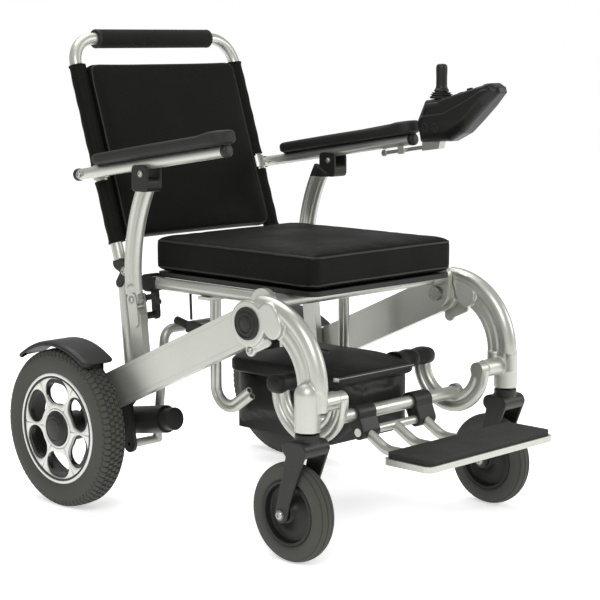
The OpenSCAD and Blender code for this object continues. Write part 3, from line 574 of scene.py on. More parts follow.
def merge(name: str, pieces: list[bpy.types.Object], body: str) -> bpy.types.Object:
    """Join several small pieces of one finish into one, and ride it on a body.

    Args:
        name: object name.
        pieces: pieces that share a finish.
        body: CAD body.

    Returns:
        The joined piece.
    """
    work = bmesh.new()
    for piece in pieces:
        work.from_mesh(piece.data)
    mesh = pieces[0].data.copy()
    work.to_mesh(mesh)
    work.free()
    joined = bpy.data.objects.new(name, mesh)
    bpy.context.scene.collection.objects.link(joined)
    for piece in pieces:
        bpy.data.objects.remove(piece)
    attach(joined, body)
    return joined


# ---------- stations ----------
@dataclass(frozen=True)
class Stations:
    """Places that several sub-assemblies share, from the frame's own joints."""

    joints: dict[str, dict] = field(default_factory=lambda: {j["name"]: j for j in frame["joints"]})

    def pivot(self, joint: str) -> Vector:
        """Where a joint's axis lies."""
        return Vector(self.joints[joint]["pos_m"])

    @property
    def axle_y(self) -> float:
        """Fore-and-aft place of the rear axle, the datum of the other stations."""
        return self.pivot("rear_wheel_left_spin").y

    def at(self, x: float, y: float, z: float) -> Vector:
        """A point given in millimetres from the rear axle's station on the floor."""
        return Vector((x * MM, y * MM + self.axle_y, z * MM))


ST = Stations()


def sides() -> tuple[tuple[int, str], ...]:
    """The sign of X and the name of each side."""
    return ((1, "left"), (-1, "right"))


def screw_head(at: Vector, radius_mm: float, rise_mm: float, finish: Finish, way: int = 1,
               washer_mm: float = 0.0) -> bpy.types.Object:
    """A domed socket-head screw, seen end on along X, with an optional washer.

    Args:
        at: centre of the head's seat.
        radius_mm: head radius.
        rise_mm: head height.
        finish: surface finish.
        way: +1 or -1, the side that the head faces.
        washer_mm: washer radius, or 0 for none.

    Returns:
        The new object.
    """
    r, h, w = radius_mm, rise_mm, washer_mm
    rim = [(0.0, 0.01, 0), (0.0, w, 0), (1.2, w, 0.3), (1.2, r, 0)] if w else [(0.0, 0.01, 0), (0.0, r, 0)]
    lift = 1.2 if w else 0.0
    outline = fillet(rim + [(lift + h * 0.35, r, 0.3), (lift + h, r * 0.72, r * 0.3),
                            (lift + h, r * 0.42, 0.2), (lift + h * 0.45, r * 0.36, 0.1),
                            (lift + h * 0.45, 0.01, 0)])
    outline[:, 0] *= way
    return lathe(f"screw_{at.x:.3f}_{at.y:.3f}", outline, at, finish, 24)


# ---------- wheels ----------
@dataclass
class RearWheel:
    """Drive wheel: blocky tyre, alloy rim and domed hub cap."""

    sign: int
    side: str
    blocks: int = 78
    block_mm: float = 3.6
    hub_mm: float = 40.0
    outer_mm: float = 102.0
    phase_deg: float = 30.0

    def tread(self, outline: np.ndarray, segments: int) -> np.ndarray:
        """Depth taken off for the grooves between tread blocks.

        Grooves run round the tyre at four stations, and across it at every block, staggered
        by half a block from row to row. They fade out down the shoulder.

        Args:
            outline: (n, 2) tyre outline.
            segments: points around.

        Returns:
            (segments, n) depths in metres.
        """
        x, r = outline[:, 0] / MM, outline[:, 1] / MM
        crown = np.clip((r - (r.max() - 15)) / 6, 0, 1)
        row = np.clip(np.floor((x - x.min() + 4) / 10), 0, 6)
        around = (np.abs(((x - x.min() + 4) / 10) % 1 - 0.5) > 0.41)[None]
        turn = np.arange(segments)[:, None] / segments * self.blocks + 0.5 * (row[None] % 2)
        cross = np.abs(turn % 1 - 0.5) > 0.36
        return np.where(around | cross, self.block_mm * MM, 0.0) * crown[None]

    def face(self, centre: Vector) -> bpy.types.Object:
        """The machined front of the rim: six rounded openings between slim spokes.

        In each sixth, a point is K(u) + (S(u) - K(u)) * w(v): K is the opening's rounded
        outline and S the edge of the sixth, both met by the ray at angle u from the opening's
        middle. The skin dips at K over a rounded lip, lies flat, and is closed behind.

        Args:
            centre: centre of the wheel.

        Returns:
            The new object.
        """
        mid, r_in, r_out = 73.5, 48.0, 99.0
        hub, outer = self.hub_mm, self.outer_mm
        a = np.radians(np.linspace(-7.5, 7.5, 21))
        end = np.linspace(0, math.pi, 25)[1:-1]
        tip = np.radians(7.5)
        top = np.stack([r_out * np.cos(a), r_out * np.sin(a)], -1)
        far = mid * np.array([np.cos(tip), np.sin(tip)]) + (r_out - mid) * np.stack(
            [np.cos(tip + end), np.sin(tip + end)], -1)
        low = np.stack([r_in * np.cos(a[::-1]), r_in * np.sin(a[::-1])], -1)
        near = mid * np.array([np.cos(tip), -np.sin(tip)]) + (r_out - mid) * np.stack(
            [np.cos(math.pi - tip + end), np.sin(math.pi - tip + end)], -1)
        kidney = np.concatenate([top, far, low, near])
        b = np.radians(np.linspace(-30, 30, 41))
        rise = np.linspace(hub, outer, 30)[1:-1, None]
        sixth = np.concatenate([
            outer * np.stack([np.cos(b), np.sin(b)], -1),
            rise[::-1] * np.array([[math.cos(math.pi / 6), 0.5]]),
            hub * np.stack([np.cos(b[::-1]), np.sin(b[::-1])], -1),
            rise * np.array([[math.cos(math.pi / 6), -0.5]])])
        u = np.linspace(0, TAU, 120, endpoint=False)
        mid_point = np.array([mid, 0.0])

        def reach(outline: np.ndarray) -> np.ndarray:
            """Distance from the opening's middle to an outline, along each ray u."""
            away = outline - mid_point
            turn = np.arctan2(away[:, 1], away[:, 0]) % TAU
            order = np.argsort(turn)
            return np.interp(u, turn[order], np.linalg.norm(away, axis=1)[order], period=TAU)

        inner, edge = reach(kidney), reach(sixth)
        lip = np.array([(0.0, 17.0), (0.0, 21.6), (0.35, 22.3), (1.1, 22.7)])
        slack = (edge - inner)[:, None]
        into = np.minimum(lip[None, :, 0], slack * 0.4)
        flat = inner[:, None] + np.concatenate([into, slack * np.array([[0.7, 1.0]])], 1)
        height = np.concatenate([lip[:, 1], [22.8, 22.8]])
        plane = mid_point + flat[..., None] * np.stack([np.cos(u), np.sin(u)], -1)[:, None]
        rows = []
        for k in range(6):
            t = math.radians(60 * k + self.phase_deg)
            y = plane[..., 0] * math.cos(t) - plane[..., 1] * math.sin(t)
            z = plane[..., 0] * math.sin(t) + plane[..., 1] * math.cos(t)
            x = np.broadcast_to(height * self.sign, y.shape)
            rows.append(np.stack([x, y, z], -1))
        points = np.concatenate([r.reshape(-1, 3) for r in rows]) * MM + np.array(centre)
        one = grid_faces(120, len(height), True, False)
        faces = np.concatenate([one + k * 120 * len(height) for k in range(6)])
        spokes = mesh_piece(f"rim_spokes_{self.side}", points, faces, RIM, 30)
        shell = spokes.modifiers.new("wall", "SOLIDIFY")
        shell.thickness = 1.2 * MM
        shell.offset = 0.0
        replace_mesh(spokes, evaluated_copy(spokes))
        rings = []
        for name, outline in (
                ("outer", [(14, outer - 0.2, 0), (22.6, outer - 0.2, 0), (23.8, outer + 1, 1),
                           (25.4, 104.6, 1.2), (25.6, 109, 1.5), (24, 110.8, 1), (19, 109, 0)]),
                ("inner", [(14, 34.2, 0), (22.8, 34.4, 0.3), (24.4, 35.6, 0.8), (24.4, 38.2, 0.8),
                           (22.6, hub + 0.3, 0.4), (14, hub + 0.3, 0)])):
            shape = fillet(outline)
            shape[:, 0] *= self.sign
            rings.append(lathe(f"rim_{name}_{self.side}", shape, centre, RIM, 144, closed=True))
        return merge(f"rim_face_{self.side}", [spokes] + rings, f"rear_wheel_{self.side}")

    def build(self) -> list[bpy.types.Object]:
        """Make the tyre, the cap and the machined face.

        Returns:
            The pieces made.
        """
        body = f"rear_wheel_{self.side}"
        low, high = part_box(f"rear_tyre_{self.side}")
        half = (high[0] - low[0]) / 2 / MM
        radius = (high[2] - low[2]) / 2 / MM
        seat = radius - 49
        centre = ST.pivot(f"rear_wheel_{self.side}_spin")
        dense = np.linspace(-half + 13, half - 13, 40)
        crown = [(x, radius - 0.0035 * x * x, 0) for x in dense]
        outline = fillet([(-half + 11, seat, 0), (-half + 6, seat + 3, 2), (-half + 1, seat + 12, 7),
                          (-half, seat + 24, 8), (-half + 3.5, radius - 12, 5), (-half + 9, radius - 4, 3)]
                         + crown + [(half - 9, radius - 4, 3), (half - 3.5, radius - 12, 5),
                                    (half, seat + 24, 8), (half - 1, seat + 12, 7), (half - 6, seat + 3, 2),
                                    (half - 11, seat, 0)], 5)
        segments = self.blocks * 9
        tyre = lathe(f"drive_tyre_{self.side}", outline, centre, TYRE, segments,
                     relief=self.tread(outline, segments), closed=True)
        tyre.data.set_sharp_from_angle(angle=math.radians(24))
        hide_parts(f"rear_tyre_{self.side}")
        s = self.sign
        inner = abs(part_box(f"rear_axle_{self.side}")[0 if s > 0 else 1][0] - centre.x) / MM
        cap = fillet([(-inner, 0.01, 0), (-inner, 9, 0.5), (10, 9, 0.5), (10, 15, 1), (21, 15, 1),
                      (21, 34, 1), (25, 34, 3), (29.5, 27, 3), (31.5, 24, 0.6), (30.5, 22.5, 0.6),
                      (32.2, 19, 4), (33.2, 10, 6), (33.5, 0.01, 0)])
        cap[:, 0] *= s
        hub = lathe(f"hub_cover_{self.side}", cap, centre, CASTING, 72)
        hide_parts(f"rear_axle_{self.side}")
        face = self.face(centre)
        made = [tyre, hub, face]
        for piece in (tyre, hub):
            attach(piece, body)
        return made


@dataclass
class CasterWheel:
    """Front caster wheel: smooth tyre and a dished moulded centre."""

    sign: int
    side: str

    def build(self) -> list[bpy.types.Object]:
        """Make the tyre and the wheel centre.

        Returns:
            The pieces made.
        """
        centre = ST.pivot(f"caster_{self.side}_spin")
        low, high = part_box(f"caster_tyre_{self.side}")
        half = (high[0] - low[0]) / 2 / MM
        radius = (high[2] - low[2]) / 2 / MM
        seat = radius - 30
        arc = [((half - 2) * math.sin(a), radius - (half + 2) * 0.62 * (1 - math.cos(a)), 0)
               for a in np.linspace(-1.15, 1.15, 91)]
        outline = fillet([(-half + 6, seat, 0), (-half + 1.5, seat + 4, 2), (-half, seat + 12, 5)] + arc
                         + [(half, seat + 12, 5), (half - 1.5, seat + 4, 2), (half - 6, seat, 0)], 4)
        x, r = outline[:, 0] / MM, outline[:, 1] / MM
        groove = np.where((np.abs(np.abs(np.abs(x) - 10) - 5) < 0.8) & (r > radius - 12), 1.8 * MM, 0)
        tyre = lathe(f"caster_tyre_skin_{self.side}", outline, centre, TYRE, 144,
                     relief=np.broadcast_to(groove, (144, len(outline))), closed=True)
        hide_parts(f"caster_tyre_{self.side}")
        dish = [(half - 5, seat - 0.3, 0.5), (half - 3.6, seat - 2, 1), (half - 4, seat - 7, 1.5),
                (5, seat - 9, 3), (4, 38, 4), (6, 30, 4), (12, 22, 4), (half - 1, 17, 2),
                (half + 0.6, 15, 1), (half + 0.6, 6, 0.5)]
        far = [(-x, r, f) for x, r, f in dish[::-1]]
        centre_disc = lathe(f"caster_centre_{self.side}", fillet(dish + [(half - 2, 5.2, 0),
                                                                        (-half + 2, 5.2, 0)] + far, 5),
                            centre, PLASTIC, 96, closed=True)
        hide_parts(f"caster_rim_{self.side}")
        for piece in (tyre, centre_disc):
            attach(piece, f"caster_wheel_{self.side}")
        return [tyre, centre_disc]


@dataclass
class Castings:
    """Cast and moulded parts that keep their CAD shape and gain fillets."""

    clamp_z: float = 0.6296
    plan: tuple = (
        ("front_leg_left", "front_frame", SILVER, "frame_silver", 1.5, 5),
        ("front_leg_right", "front_frame", SILVER, "frame_silver", 1.5, 5),
        ("caster_fork_left", "caster_left", CASTING, "fork_black", 1.3, 5),
        ("caster_fork_right", "caster_right", CASTING, "fork_black", 1.3, 5),
        ("back_hinges", "back", PLASTIC, "black_plastic", 1.2, 4),
        ("seat_brackets", "rear_frame", PLASTIC, "black_plastic", 1.2, 4),
        ("footrest_clamps", "footrest", PLASTIC, "black_plastic", 1.2, 4),
        ("gearboxes", "rear_frame", CASTING, "motor_black", 1.8, 6),
        ("armrest_post_left", "post_left", SILVER, "frame_silver", 1.2, 4),
        ("armrest_post_right", "post_right", SILVER, "frame_silver", 1.2, 4),
    )

    def build(self) -> list[bpy.types.Object]:
        """Make each casting and ride it on its body.

        Returns:
            The pieces made.
        """
        made = []
        for node, body, finish, slot, voxel, smooth in self.plan:
            piece = casting(f"cast_{node}", node, finish, voxel, smooth)
            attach(piece, body)
            made.append(piece)
            if node.startswith("armrest_post"):
                self.blacken(piece)
        return made

    def blacken(self, piece: bpy.types.Object) -> None:
        """Give the clamp on top of an armrest post its black plastic."""
        piece.data.materials.append(PLASTIC.material())
        heights = np.array([p.center.z for p in piece.data.polygons])
        piece.data.polygons.foreach_set("material_index", (heights > self.clamp_z).astype(np.int32))


@dataclass
class Fender:
    """Curved fender over a rear wheel, with its strap to the beam."""

    sign: int
    side: str
    start_deg: float = 50.0
    end_deg: float = 127.0
    radius: float = 171.0
    inner_x: float = 275.0
    outer_x: float = 347.0

    def build(self) -> list[bpy.types.Object]:
        """Make the fender and its strap.

        The section is a closed strip 3 mm thick that curls down 6 mm over its outer 10 mm.
        It is carried round the axle, and drawn in at both ends by a quarter circle.

        Returns:
            The pieces made.
        """
        r, x0, x1 = self.radius, self.inner_x, self.outer_x
        section = fillet([(x0, r + 0.4, 0), (x1 - 10, r + 0.4, 5), (x1 - 2.6, r - 2, 4),
                          (x1 - 2.4, r - 6, 0),
                          (x1 - 1, r - 6.6, 1), (x1, r - 5.6, 0.6), (x1, r - 1, 6), (x1 - 8, r + 3, 6),
                          (x0, r + 3, 1), (x0 - 0.6, r + 1.7, 0.8), (x0, r + 0.4, 0)], 6)[:-1] / MM
        turn = np.radians(np.linspace(self.start_deg, self.end_deg, 90))
        reach = np.minimum(turn - turn[0], turn[-1] - turn) * r
        draw = np.sqrt(1 - (1 - np.clip(reach / 14, 0, 1)) ** 2) * 0.3 + 0.7
        middle = (x0 + x1) / 2 - 4
        x = middle + (section[None, :, 0] - middle) * draw[:, None]
        flare = -2.5 * (1 - np.clip(reach / 30, 0, 1)) ** 2
        radius = section[None, :, 1] - flare[:, None]
        y, z = radius * np.cos(turn)[:, None], radius * np.sin(turn)[:, None] + 157
        points = np.stack([self.sign * x, y, z], -1)
        lids = [points[:1].mean(1, keepdims=True).repeat(points.shape[1], 1), points,
                points[-1:].mean(1, keepdims=True).repeat(points.shape[1], 1)]
        points = np.concatenate(lids) * MM + np.array((0, ST.axle_y, 0))
        shell = mesh_piece(f"fender_shell_{self.side}", points,
                           grid_faces(len(points), points.shape[1], False, True), PLASTIC, 50)
        path = np.linspace((self.sign * 275.6, -64, 228), (self.sign * 277.0, -66, 306), 20) * MM
        path = path + np.array((0, ST.axle_y, 0))
        ends = np.sqrt(1 - np.linspace(-0.97, 0.97, 20) ** 8)
        pts, fcs = sweep(path, np.array((0.0, 1.0, -0.07)), 8 * MM * ends, np.full(20, 1.4 * MM), 20, 4.0)
        strap = mesh_piece(f"fender_strap_{self.side}", pts, fcs, PLASTIC, 50)
        piece = merge(f"fender_{self.side}", [shell, strap], "rear_frame")
        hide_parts("fenders")
        return [piece]


@dataclass
class MainHub:
    """Black ringed caps over the main pivots."""

    def build(self) -> list[bpy.types.Object]:
        """Make both caps as one piece.

        Returns:
            The pieces made.
        """
        pivot = ST.pivot("front_fold")
        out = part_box("hub_caps")[1][0] / MM
        back = out - 5.9
        caps = []
        for sign, side in sides():
            outline = fillet([(back, 0.01, 0), (back, 30, 0.4), (back + 2.5, 30, 1), (back + 4, 28, 1),
                              (back + 4, 25.5, 0.6), (back + 2.4, 24.6, 0.6), (back + 2.4, 22, 0.6),
                              (back + 4.6, 21, 0.8), (back + 5, 17.5, 0.8), (back + 3, 16.4, 0.6),
                              (back + 3, 13.5, 0.6), (back + 5.4, 12.4, 0.8), (back + 6, 7, 2),
                              (back + 6, 0.01, 0)])
            outline[:, 0] *= sign
            caps.append(lathe(f"hub_cap_{side}", outline, Vector((0, pivot.y, pivot.z)), PLASTIC, 72))
        piece = merge("ringed_hub_caps", caps, "front_frame")
        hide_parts("hub_caps")
        return [piece]


# ---------- soft parts ----------
@dataclass
class SeatCushion:
    """Firm box cushion in vinyl, with piping round its top edge."""

    cap_mm: float = 5.0
    inset_mm: float = 3.5

    def build(self) -> list[bpy.types.Object]:
        """Make the cushion and its piping.

        Returns:
            The pieces made.
        """
        low, high = (Vector(v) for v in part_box("seat_cushion"))
        half = (high - low) / 2
        middle = (high + low) / 2
        inset = self.inset_mm * MM
        points, faces = pad_form(half.x - inset, half.y - inset, 12 * MM, low.z + 0.4 * MM + inset,
                                 high.z - inset - 2 * MM, 7 * MM, 5 * MM)
        cushion = mesh_piece("seat_pad", points + np.array((middle.x, middle.y, 0)), faces, VINYL, 80)
        inflate(cushion, self.cap_mm, 6.0)
        settle(cushion, low, high)
        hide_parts("seat_cushion")
        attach(cushion, "rear_frame")
        loop = rounded_rectangle(half.x - 1.5 * MM, half.y - 1.5 * MM, 14 * MM, 240)
        cords = []
        for name, z in (("top", high.z - 6 * MM), ("under", low.z + 7 * MM)):
            ring = np.column_stack([loop + np.array((middle.x, middle.y)), np.full(240, z)])
            ring = hug(ring, cushion)
            cords.append(ring_cord(f"piping_{name}", ring, 2.0 * MM, PIPING))
        piping = merge("seat_piping", cords, "rear_frame")
        return [cushion, piping]


def settle(piece: bpy.types.Object, low: Vector, high: Vector, proud_mm: float = 2.0) -> None:
    """Keep a swollen pad's underside flat on its seat and its skin inside its room.

    Args:
        piece: the pad.
        low: lowest corner of its room.
        high: highest corner.
        proud_mm: how far the skin may stand out of it, except below.
    """
    co = points_of(piece)
    p = proud_mm * MM
    co = np.clip(co, np.array((low.x - p, low.y - p, low.z + 0.2 * MM)), np.array(high) + p)
    put_points(piece, co)


def hug(ring: np.ndarray, piece: bpy.types.Object) -> np.ndarray:
    """Lay a loop on a pad's skin, so that its piping stays sewn to it after the pad swells.

    Each point of the loop becomes the skin's nearest point, averaged with its two neighbours
    on each side.

    Args:
        ring: (n, 3) points of a closed loop near the skin.
        piece: the pad.

    Returns:
        (n, 3) points on the skin.
    """
    co = points_of(piece)
    away = ((ring[:, None] - co[None]) ** 2).sum(-1)
    nearest = co[away.argmin(1)]
    return sum(np.roll(nearest, k, 0) for k in (-2, -1, 0, 1, 2)) / 5


def ring_cord(name: str, ring: np.ndarray, radius: float, finish: Finish,
              segments: int = 8) -> bpy.types.Object:
    """A closed round cord along a loop of points.

    Point (u, v) is ring(u) + radius * (cos v * outward(u) + sin v * normal(u)), with the two
    directions square to the loop's own direction at u.

    Args:
        name: object name.
        ring: (n, 3) points of a closed loop.
        radius: cord radius.
        finish: surface finish.
        segments: points around the cord.

    Returns:
        The new object.
    """
    tangent = np.roll(ring, -1, 0) - np.roll(ring, 1, 0)
    tangent /= np.linalg.norm(tangent, axis=1, keepdims=True)
    normal = np.cross(ring[len(ring) // 4] - ring[0], ring[len(ring) // 2] - ring[0])
    normal /= np.linalg.norm(normal)
    out = np.cross(tangent, normal)
    v = np.arange(segments) * TAU / segments
    points = (ring[:, None] + radius * (np.cos(v)[None, :, None] * out[:, None]
                                        + np.sin(v)[None, :, None] * normal[None, None]))
    return mesh_piece(name, points, grid_faces(len(ring), segments, True, True), finish, 80)


@dataclass
class Back:
    """Back pad with cane sleeves and the push grip's end rings."""

    tilt_deg: float = 18.4
    pad_half_x: float = 204.5
    pad_t: float = 34.0
    pad_low: float = 48.0
    pad_high: float = 415.0
    cane_x: float = 217.0
    cane_r: float = 12.0
    gap_low: float = 173.0
    gap_high: float = 207.0

    def place(self) -> Matrix:
        """Turn from the back's own upright axes to the frame's."""
        foot = ST.at(0, -62, 472)
        return Matrix.Translation(foot) @ Matrix.Rotation(math.radians(-self.tilt_deg), 4, "X")

    def sleeve(self, name: str, x: float, z0: float, z1: float) -> bpy.types.Object:
        """One vinyl sleeve round a cane, a little slack, with hemmed ends.

        The radius swells by 1.2 mm in long soft folds along the sleeve.

        Args:
            name: object name.
            x: cane's X in millimetres.
            z0: lower end.
            z1: upper end.

        Returns:
            The new object.
        """
        count = 90
        z = np.linspace(z0, z1, count)
        phase = z / 26.0 + x
        radius = 14.6 + 0.7 * np.sin(phase) * np.sin(z / 9.0) + 0.5 * np.cos(z / 14.0)
        hem = np.minimum(z - z0, z1 - z)
        radius = np.where(hem < 3, 15.6, radius)
        outline = np.stack([z, radius], -1)
        lip = np.array([[z1, 12.6], [z0, 12.6]])
        return lathe(name, np.concatenate([outline, lip]) * MM, Vector((x * MM, 0, 0)), VINYL, 32, "Z",
                     closed=True)

    def build(self) -> list[bpy.types.Object]:
        """Make the pad, sleeves, seam and the grip's end rings.

        Returns:
            The pieces made.
        """
        inset = 1.5
        half_x = (self.pad_half_x - 2 - inset) * MM
        half_z = ((self.pad_high - self.pad_low) / 2 - inset) * MM
        half_t = (self.pad_t / 2 - inset) * MM
        points, faces = pad_form(half_x, half_z, 7 * MM, -half_t, half_t, 7 * MM, 3 * MM)
        # The form lies flat; it is stood up so that its crowned face looks forward.
        points = np.stack([points[..., 0], -points[..., 2] - 2 * MM,
                           points[..., 1] + (self.pad_low + self.pad_high) / 2 * MM], -1)
        pad = mesh_piece("back_pad", points, faces, VINYL, 80)
        inflate(pad, 5.0, 6.0)
        loop = rounded_rectangle((self.pad_half_x - 8) * MM, ((self.pad_high - self.pad_low) / 2 - 7) * MM,
                                 9 * MM, 220)
        ring = np.column_stack([loop[:, 0], np.full(220, -self.pad_t / 2 * MM),
                                loop[:, 1] + (self.pad_low + self.pad_high) / 2 * MM])
        ring = hug(ring, pad)
        move_points(pad, self.place())
        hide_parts("back_upholstery")
        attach(pad, "back")
        sleeves = []
        for sign, side in sides():
            for part, z0, z1 in (("low", self.pad_low, self.gap_low), ("high", self.gap_high,
                                                                     self.pad_high - 4)):
                sleeves.append(self.sleeve(f"sleeve_{side}_{part}", sign * self.cane_x, z0, z1))
            # The strip of vinyl that joins the sleeve to the pad, with rounded edges.
            z = np.linspace(self.pad_low + 1, self.pad_high - 3, 60)
            path = np.stack([np.full(60, sign * 206.0), np.full(60, 0.0), z], -1) * MM
            pts, fcs = sweep(path, np.array((1.0, 0.0, 0.0)), np.full(60, 10 * MM),
                             np.full(60, 9 * MM), 20, 3.0)
            sleeves.append(mesh_piece(f"sleeve_web_{side}", pts, fcs, VINYL, 60))
        sleeve = merge("cane_sleeves", sleeves, "back")
        move_points(sleeve, self.place())
        seam = ring_cord("back_seam", ring, 1.8 * MM, PIPING)
        move_points(seam, self.place())
        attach(seam, "back")
        ends = []
        for sign, side in sides():
            outline = fillet([(sign * 149, 12.2, 0), (sign * 149, 19.3, 1), (sign * 153, 19.3, 1.5),
                              (sign * 155, 16, 1), (sign * 155, 12.2, 0)])
            ends.append(lathe(f"grip_end_{side}", outline, Vector((0, 0, 466 * MM)), RUBBER, 48,
                              closed=True))
        grip_ends = merge("grip_ends", ends, "back")
        move_points(grip_ends, self.place())
        return [pad, sleeve, seam, grip_ends]


@dataclass
class BatteryBag:
    """Soft nylon battery bag: body, overlapping lid, zip, and sleeves round the bar's ends."""

    lid_mm: float = 34.0
    sleeve_mm: tuple[float, float] = (21.5, 16.5)

    def body(self, low: Vector, high: Vector) -> bpy.types.Object:
        """Make the bag's body, swollen and then creased.

        Args:
            low: lowest corner of its room.
            high: highest corner.

        Returns:
            The new object.
        """
        half, middle = (high - low) / 2, (high + low) / 2
        inset = 4 * MM
        points, faces = pad_form(half.x - inset, half.y - inset, 22 * MM, low.z + inset,
                                 high.z - inset - 8 * MM, 16 * MM, 2 * MM)
        bag = mesh_piece("bag_body", points + np.array((middle.x, middle.y, 0)), faces, NYLON, 80)
        inflate(bag, 6.0, 5.0)
        co = points_of(bag)
        # Creases: slanting waves, strongest low on the sides, 3 mm deep at most.
        depth = np.clip((high.z - 30 * MM - co[:, 2]) / (high.z - low.z), 0, 1) ** 0.7
        fold = np.sin(co[:, 0] * 31 + co[:, 1] * 27 + 2.6 * np.sin(co[:, 2] * 33)) * np.sin(
            co[:, 2] * 44 + (co[:, 0] - co[:, 1]) * 12)
        away = (co[:, :2] - np.array((middle.x, middle.y))) / np.array((half.x, half.y))
        edge = np.clip((np.abs(away).max(1) - 0.7) / 0.3, 0, 1)
        co[:, :2] -= (2.6 * MM * fold * depth * edge)[:, None] * away
        put_points(bag, co)
        settle(bag, low, high, 4.0)
        return bag

    def lid(self, low: Vector, high: Vector) -> bpy.types.Object:
        """Make the lid, whose skirt overlaps the body, with a sloping crowned top.

        Args:
            low: lowest corner of the bag's room.
            high: highest corner.

        Returns:
            The new object.
        """
        half, middle = (high - low) / 2, (high + low) / 2
        points, faces = pad_form(half.x + 3.5 * MM, half.y + 3.5 * MM, 24 * MM, high.z - self.lid_mm * MM,
                                 high.z - 6 * MM, 8 * MM, 13 * MM, 160)
        # The front edge of the top lies lower than the rest by 10 mm, over a long soft slope.
        v = np.clip((points[..., 1] / half.y + 1) / 0.9, 0, 1)
        top = np.clip((points[..., 2] - high.z + 20 * MM) / (12 * MM), 0, 1)
        points[..., 2] -= 9 * MM * (1 - v) ** 2 * top
        wave = np.sin(points[..., 0] * 38 + 1.5) * np.sin(points[..., 1] * 29) * 1.6 * MM
        points[..., 2] += wave * top
        return mesh_piece("bag_lid", points + np.array((middle.x, middle.y, 0)), faces, NYLON, 60)

    def build(self) -> list[bpy.types.Object]:
        """Make the bag and its trimmings.

        Returns:
            The pieces made.
        """
        low, high = (Vector(v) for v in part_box("battery_bag"))
        half = (high - low) / 2
        bag, lid = self.body(low, high), self.lid(low, high)
        for piece in (bag, lid):
            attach(piece, "front_frame")
        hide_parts("battery_bag")
        count = 80
        x = np.linspace(-half.x + 10 * MM, half.x - 8 * MM, count)
        edge_z = high.z - 17.5 * MM
        path = np.stack([x, np.full(count, low.y - 3.3 * MM), np.full(count, edge_z)], -1)
        pts, fcs = sweep(path, np.array((0.0, 0.0, 1.0)), np.full(count, 3.6 * MM),
                         np.full(count, 1.1 * MM), 12, 4.0)
        tape = mesh_piece("bag_zip_tape", pts, fcs, PIPING, 50)
        beads = 0.75 + 0.35 * np.sin(np.arange(count * 4) * TAU / 4)
        fine = np.stack([np.interp(np.linspace(0, 1, count * 4), np.linspace(0, 1, count), path[:, i])
                         for i in range(3)], -1) - np.array((0, 1.0 * MM, 0))
        pts, fcs = sweep(fine, np.array((0.0, 0.0, 1.0)), beads * MM, beads * 0.8 * MM, 6)
        teeth = mesh_piece("bag_zip_teeth", pts, fcs, GREY_AND_PAINTED_SHADE, 50)
        pull_at = path[0] + np.array((-1, -1.6 * MM, 0)) * np.array((4 * MM, 1, 1))
        line = pull_at + np.linspace((-6, 0, 1.5), (7, 0, -1), 14) * MM
        pts, fcs = sweep(line, np.array((0.0, 0.0, 1.0)), np.full(14, 4 * MM),
                         np.full(14, 1.8 * MM), 12, 3.0)
        pull = mesh_piece("bag_zip_pull", pts, fcs, ZINC, 50)
        sleeves = []
        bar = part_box("bag_bar")
        at_y, at_z = (bar[0][1] + bar[1][1]) / 2, (bar[0][2] + bar[1][2]) / 2
        for sign, side in sides():
            t = np.linspace(0, 1, 40)
            line = np.stack([sign * (half.x - 4 * MM + t * (228 * MM - half.x)),
                             np.full(40, at_y), np.full(40, at_z)], -1)
            plump = np.sqrt(np.clip(1 - (np.clip(t - 0.86, 0, 1) / 0.14) ** 2.4, 0.02, 1))
            crease = 1 + 0.05 * np.sin(t * 17 + sign) - 0.1 * np.exp(-((t - 0.5) / 0.05) ** 2)
            pts, fcs = sweep(line, np.array((0.0, 1.0, 0.0)), self.sleeve_mm[0] * MM * plump * crease,
                             self.sleeve_mm[1] * MM * plump * crease, 28, 2.6)
            sleeves.append(mesh_piece(f"bag_sleeve_{side}", pts, fcs, NYLON, 60))
        sleeve = merge("bag_sleeves", sleeves, "front_frame")
        for piece, slot in ((tape, "bag_fabric"), (teeth, "frame_grey"), (pull, "bright_steel")):
            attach(piece, "front_frame")
        return [bag, lid, tape, teeth, pull, sleeve]


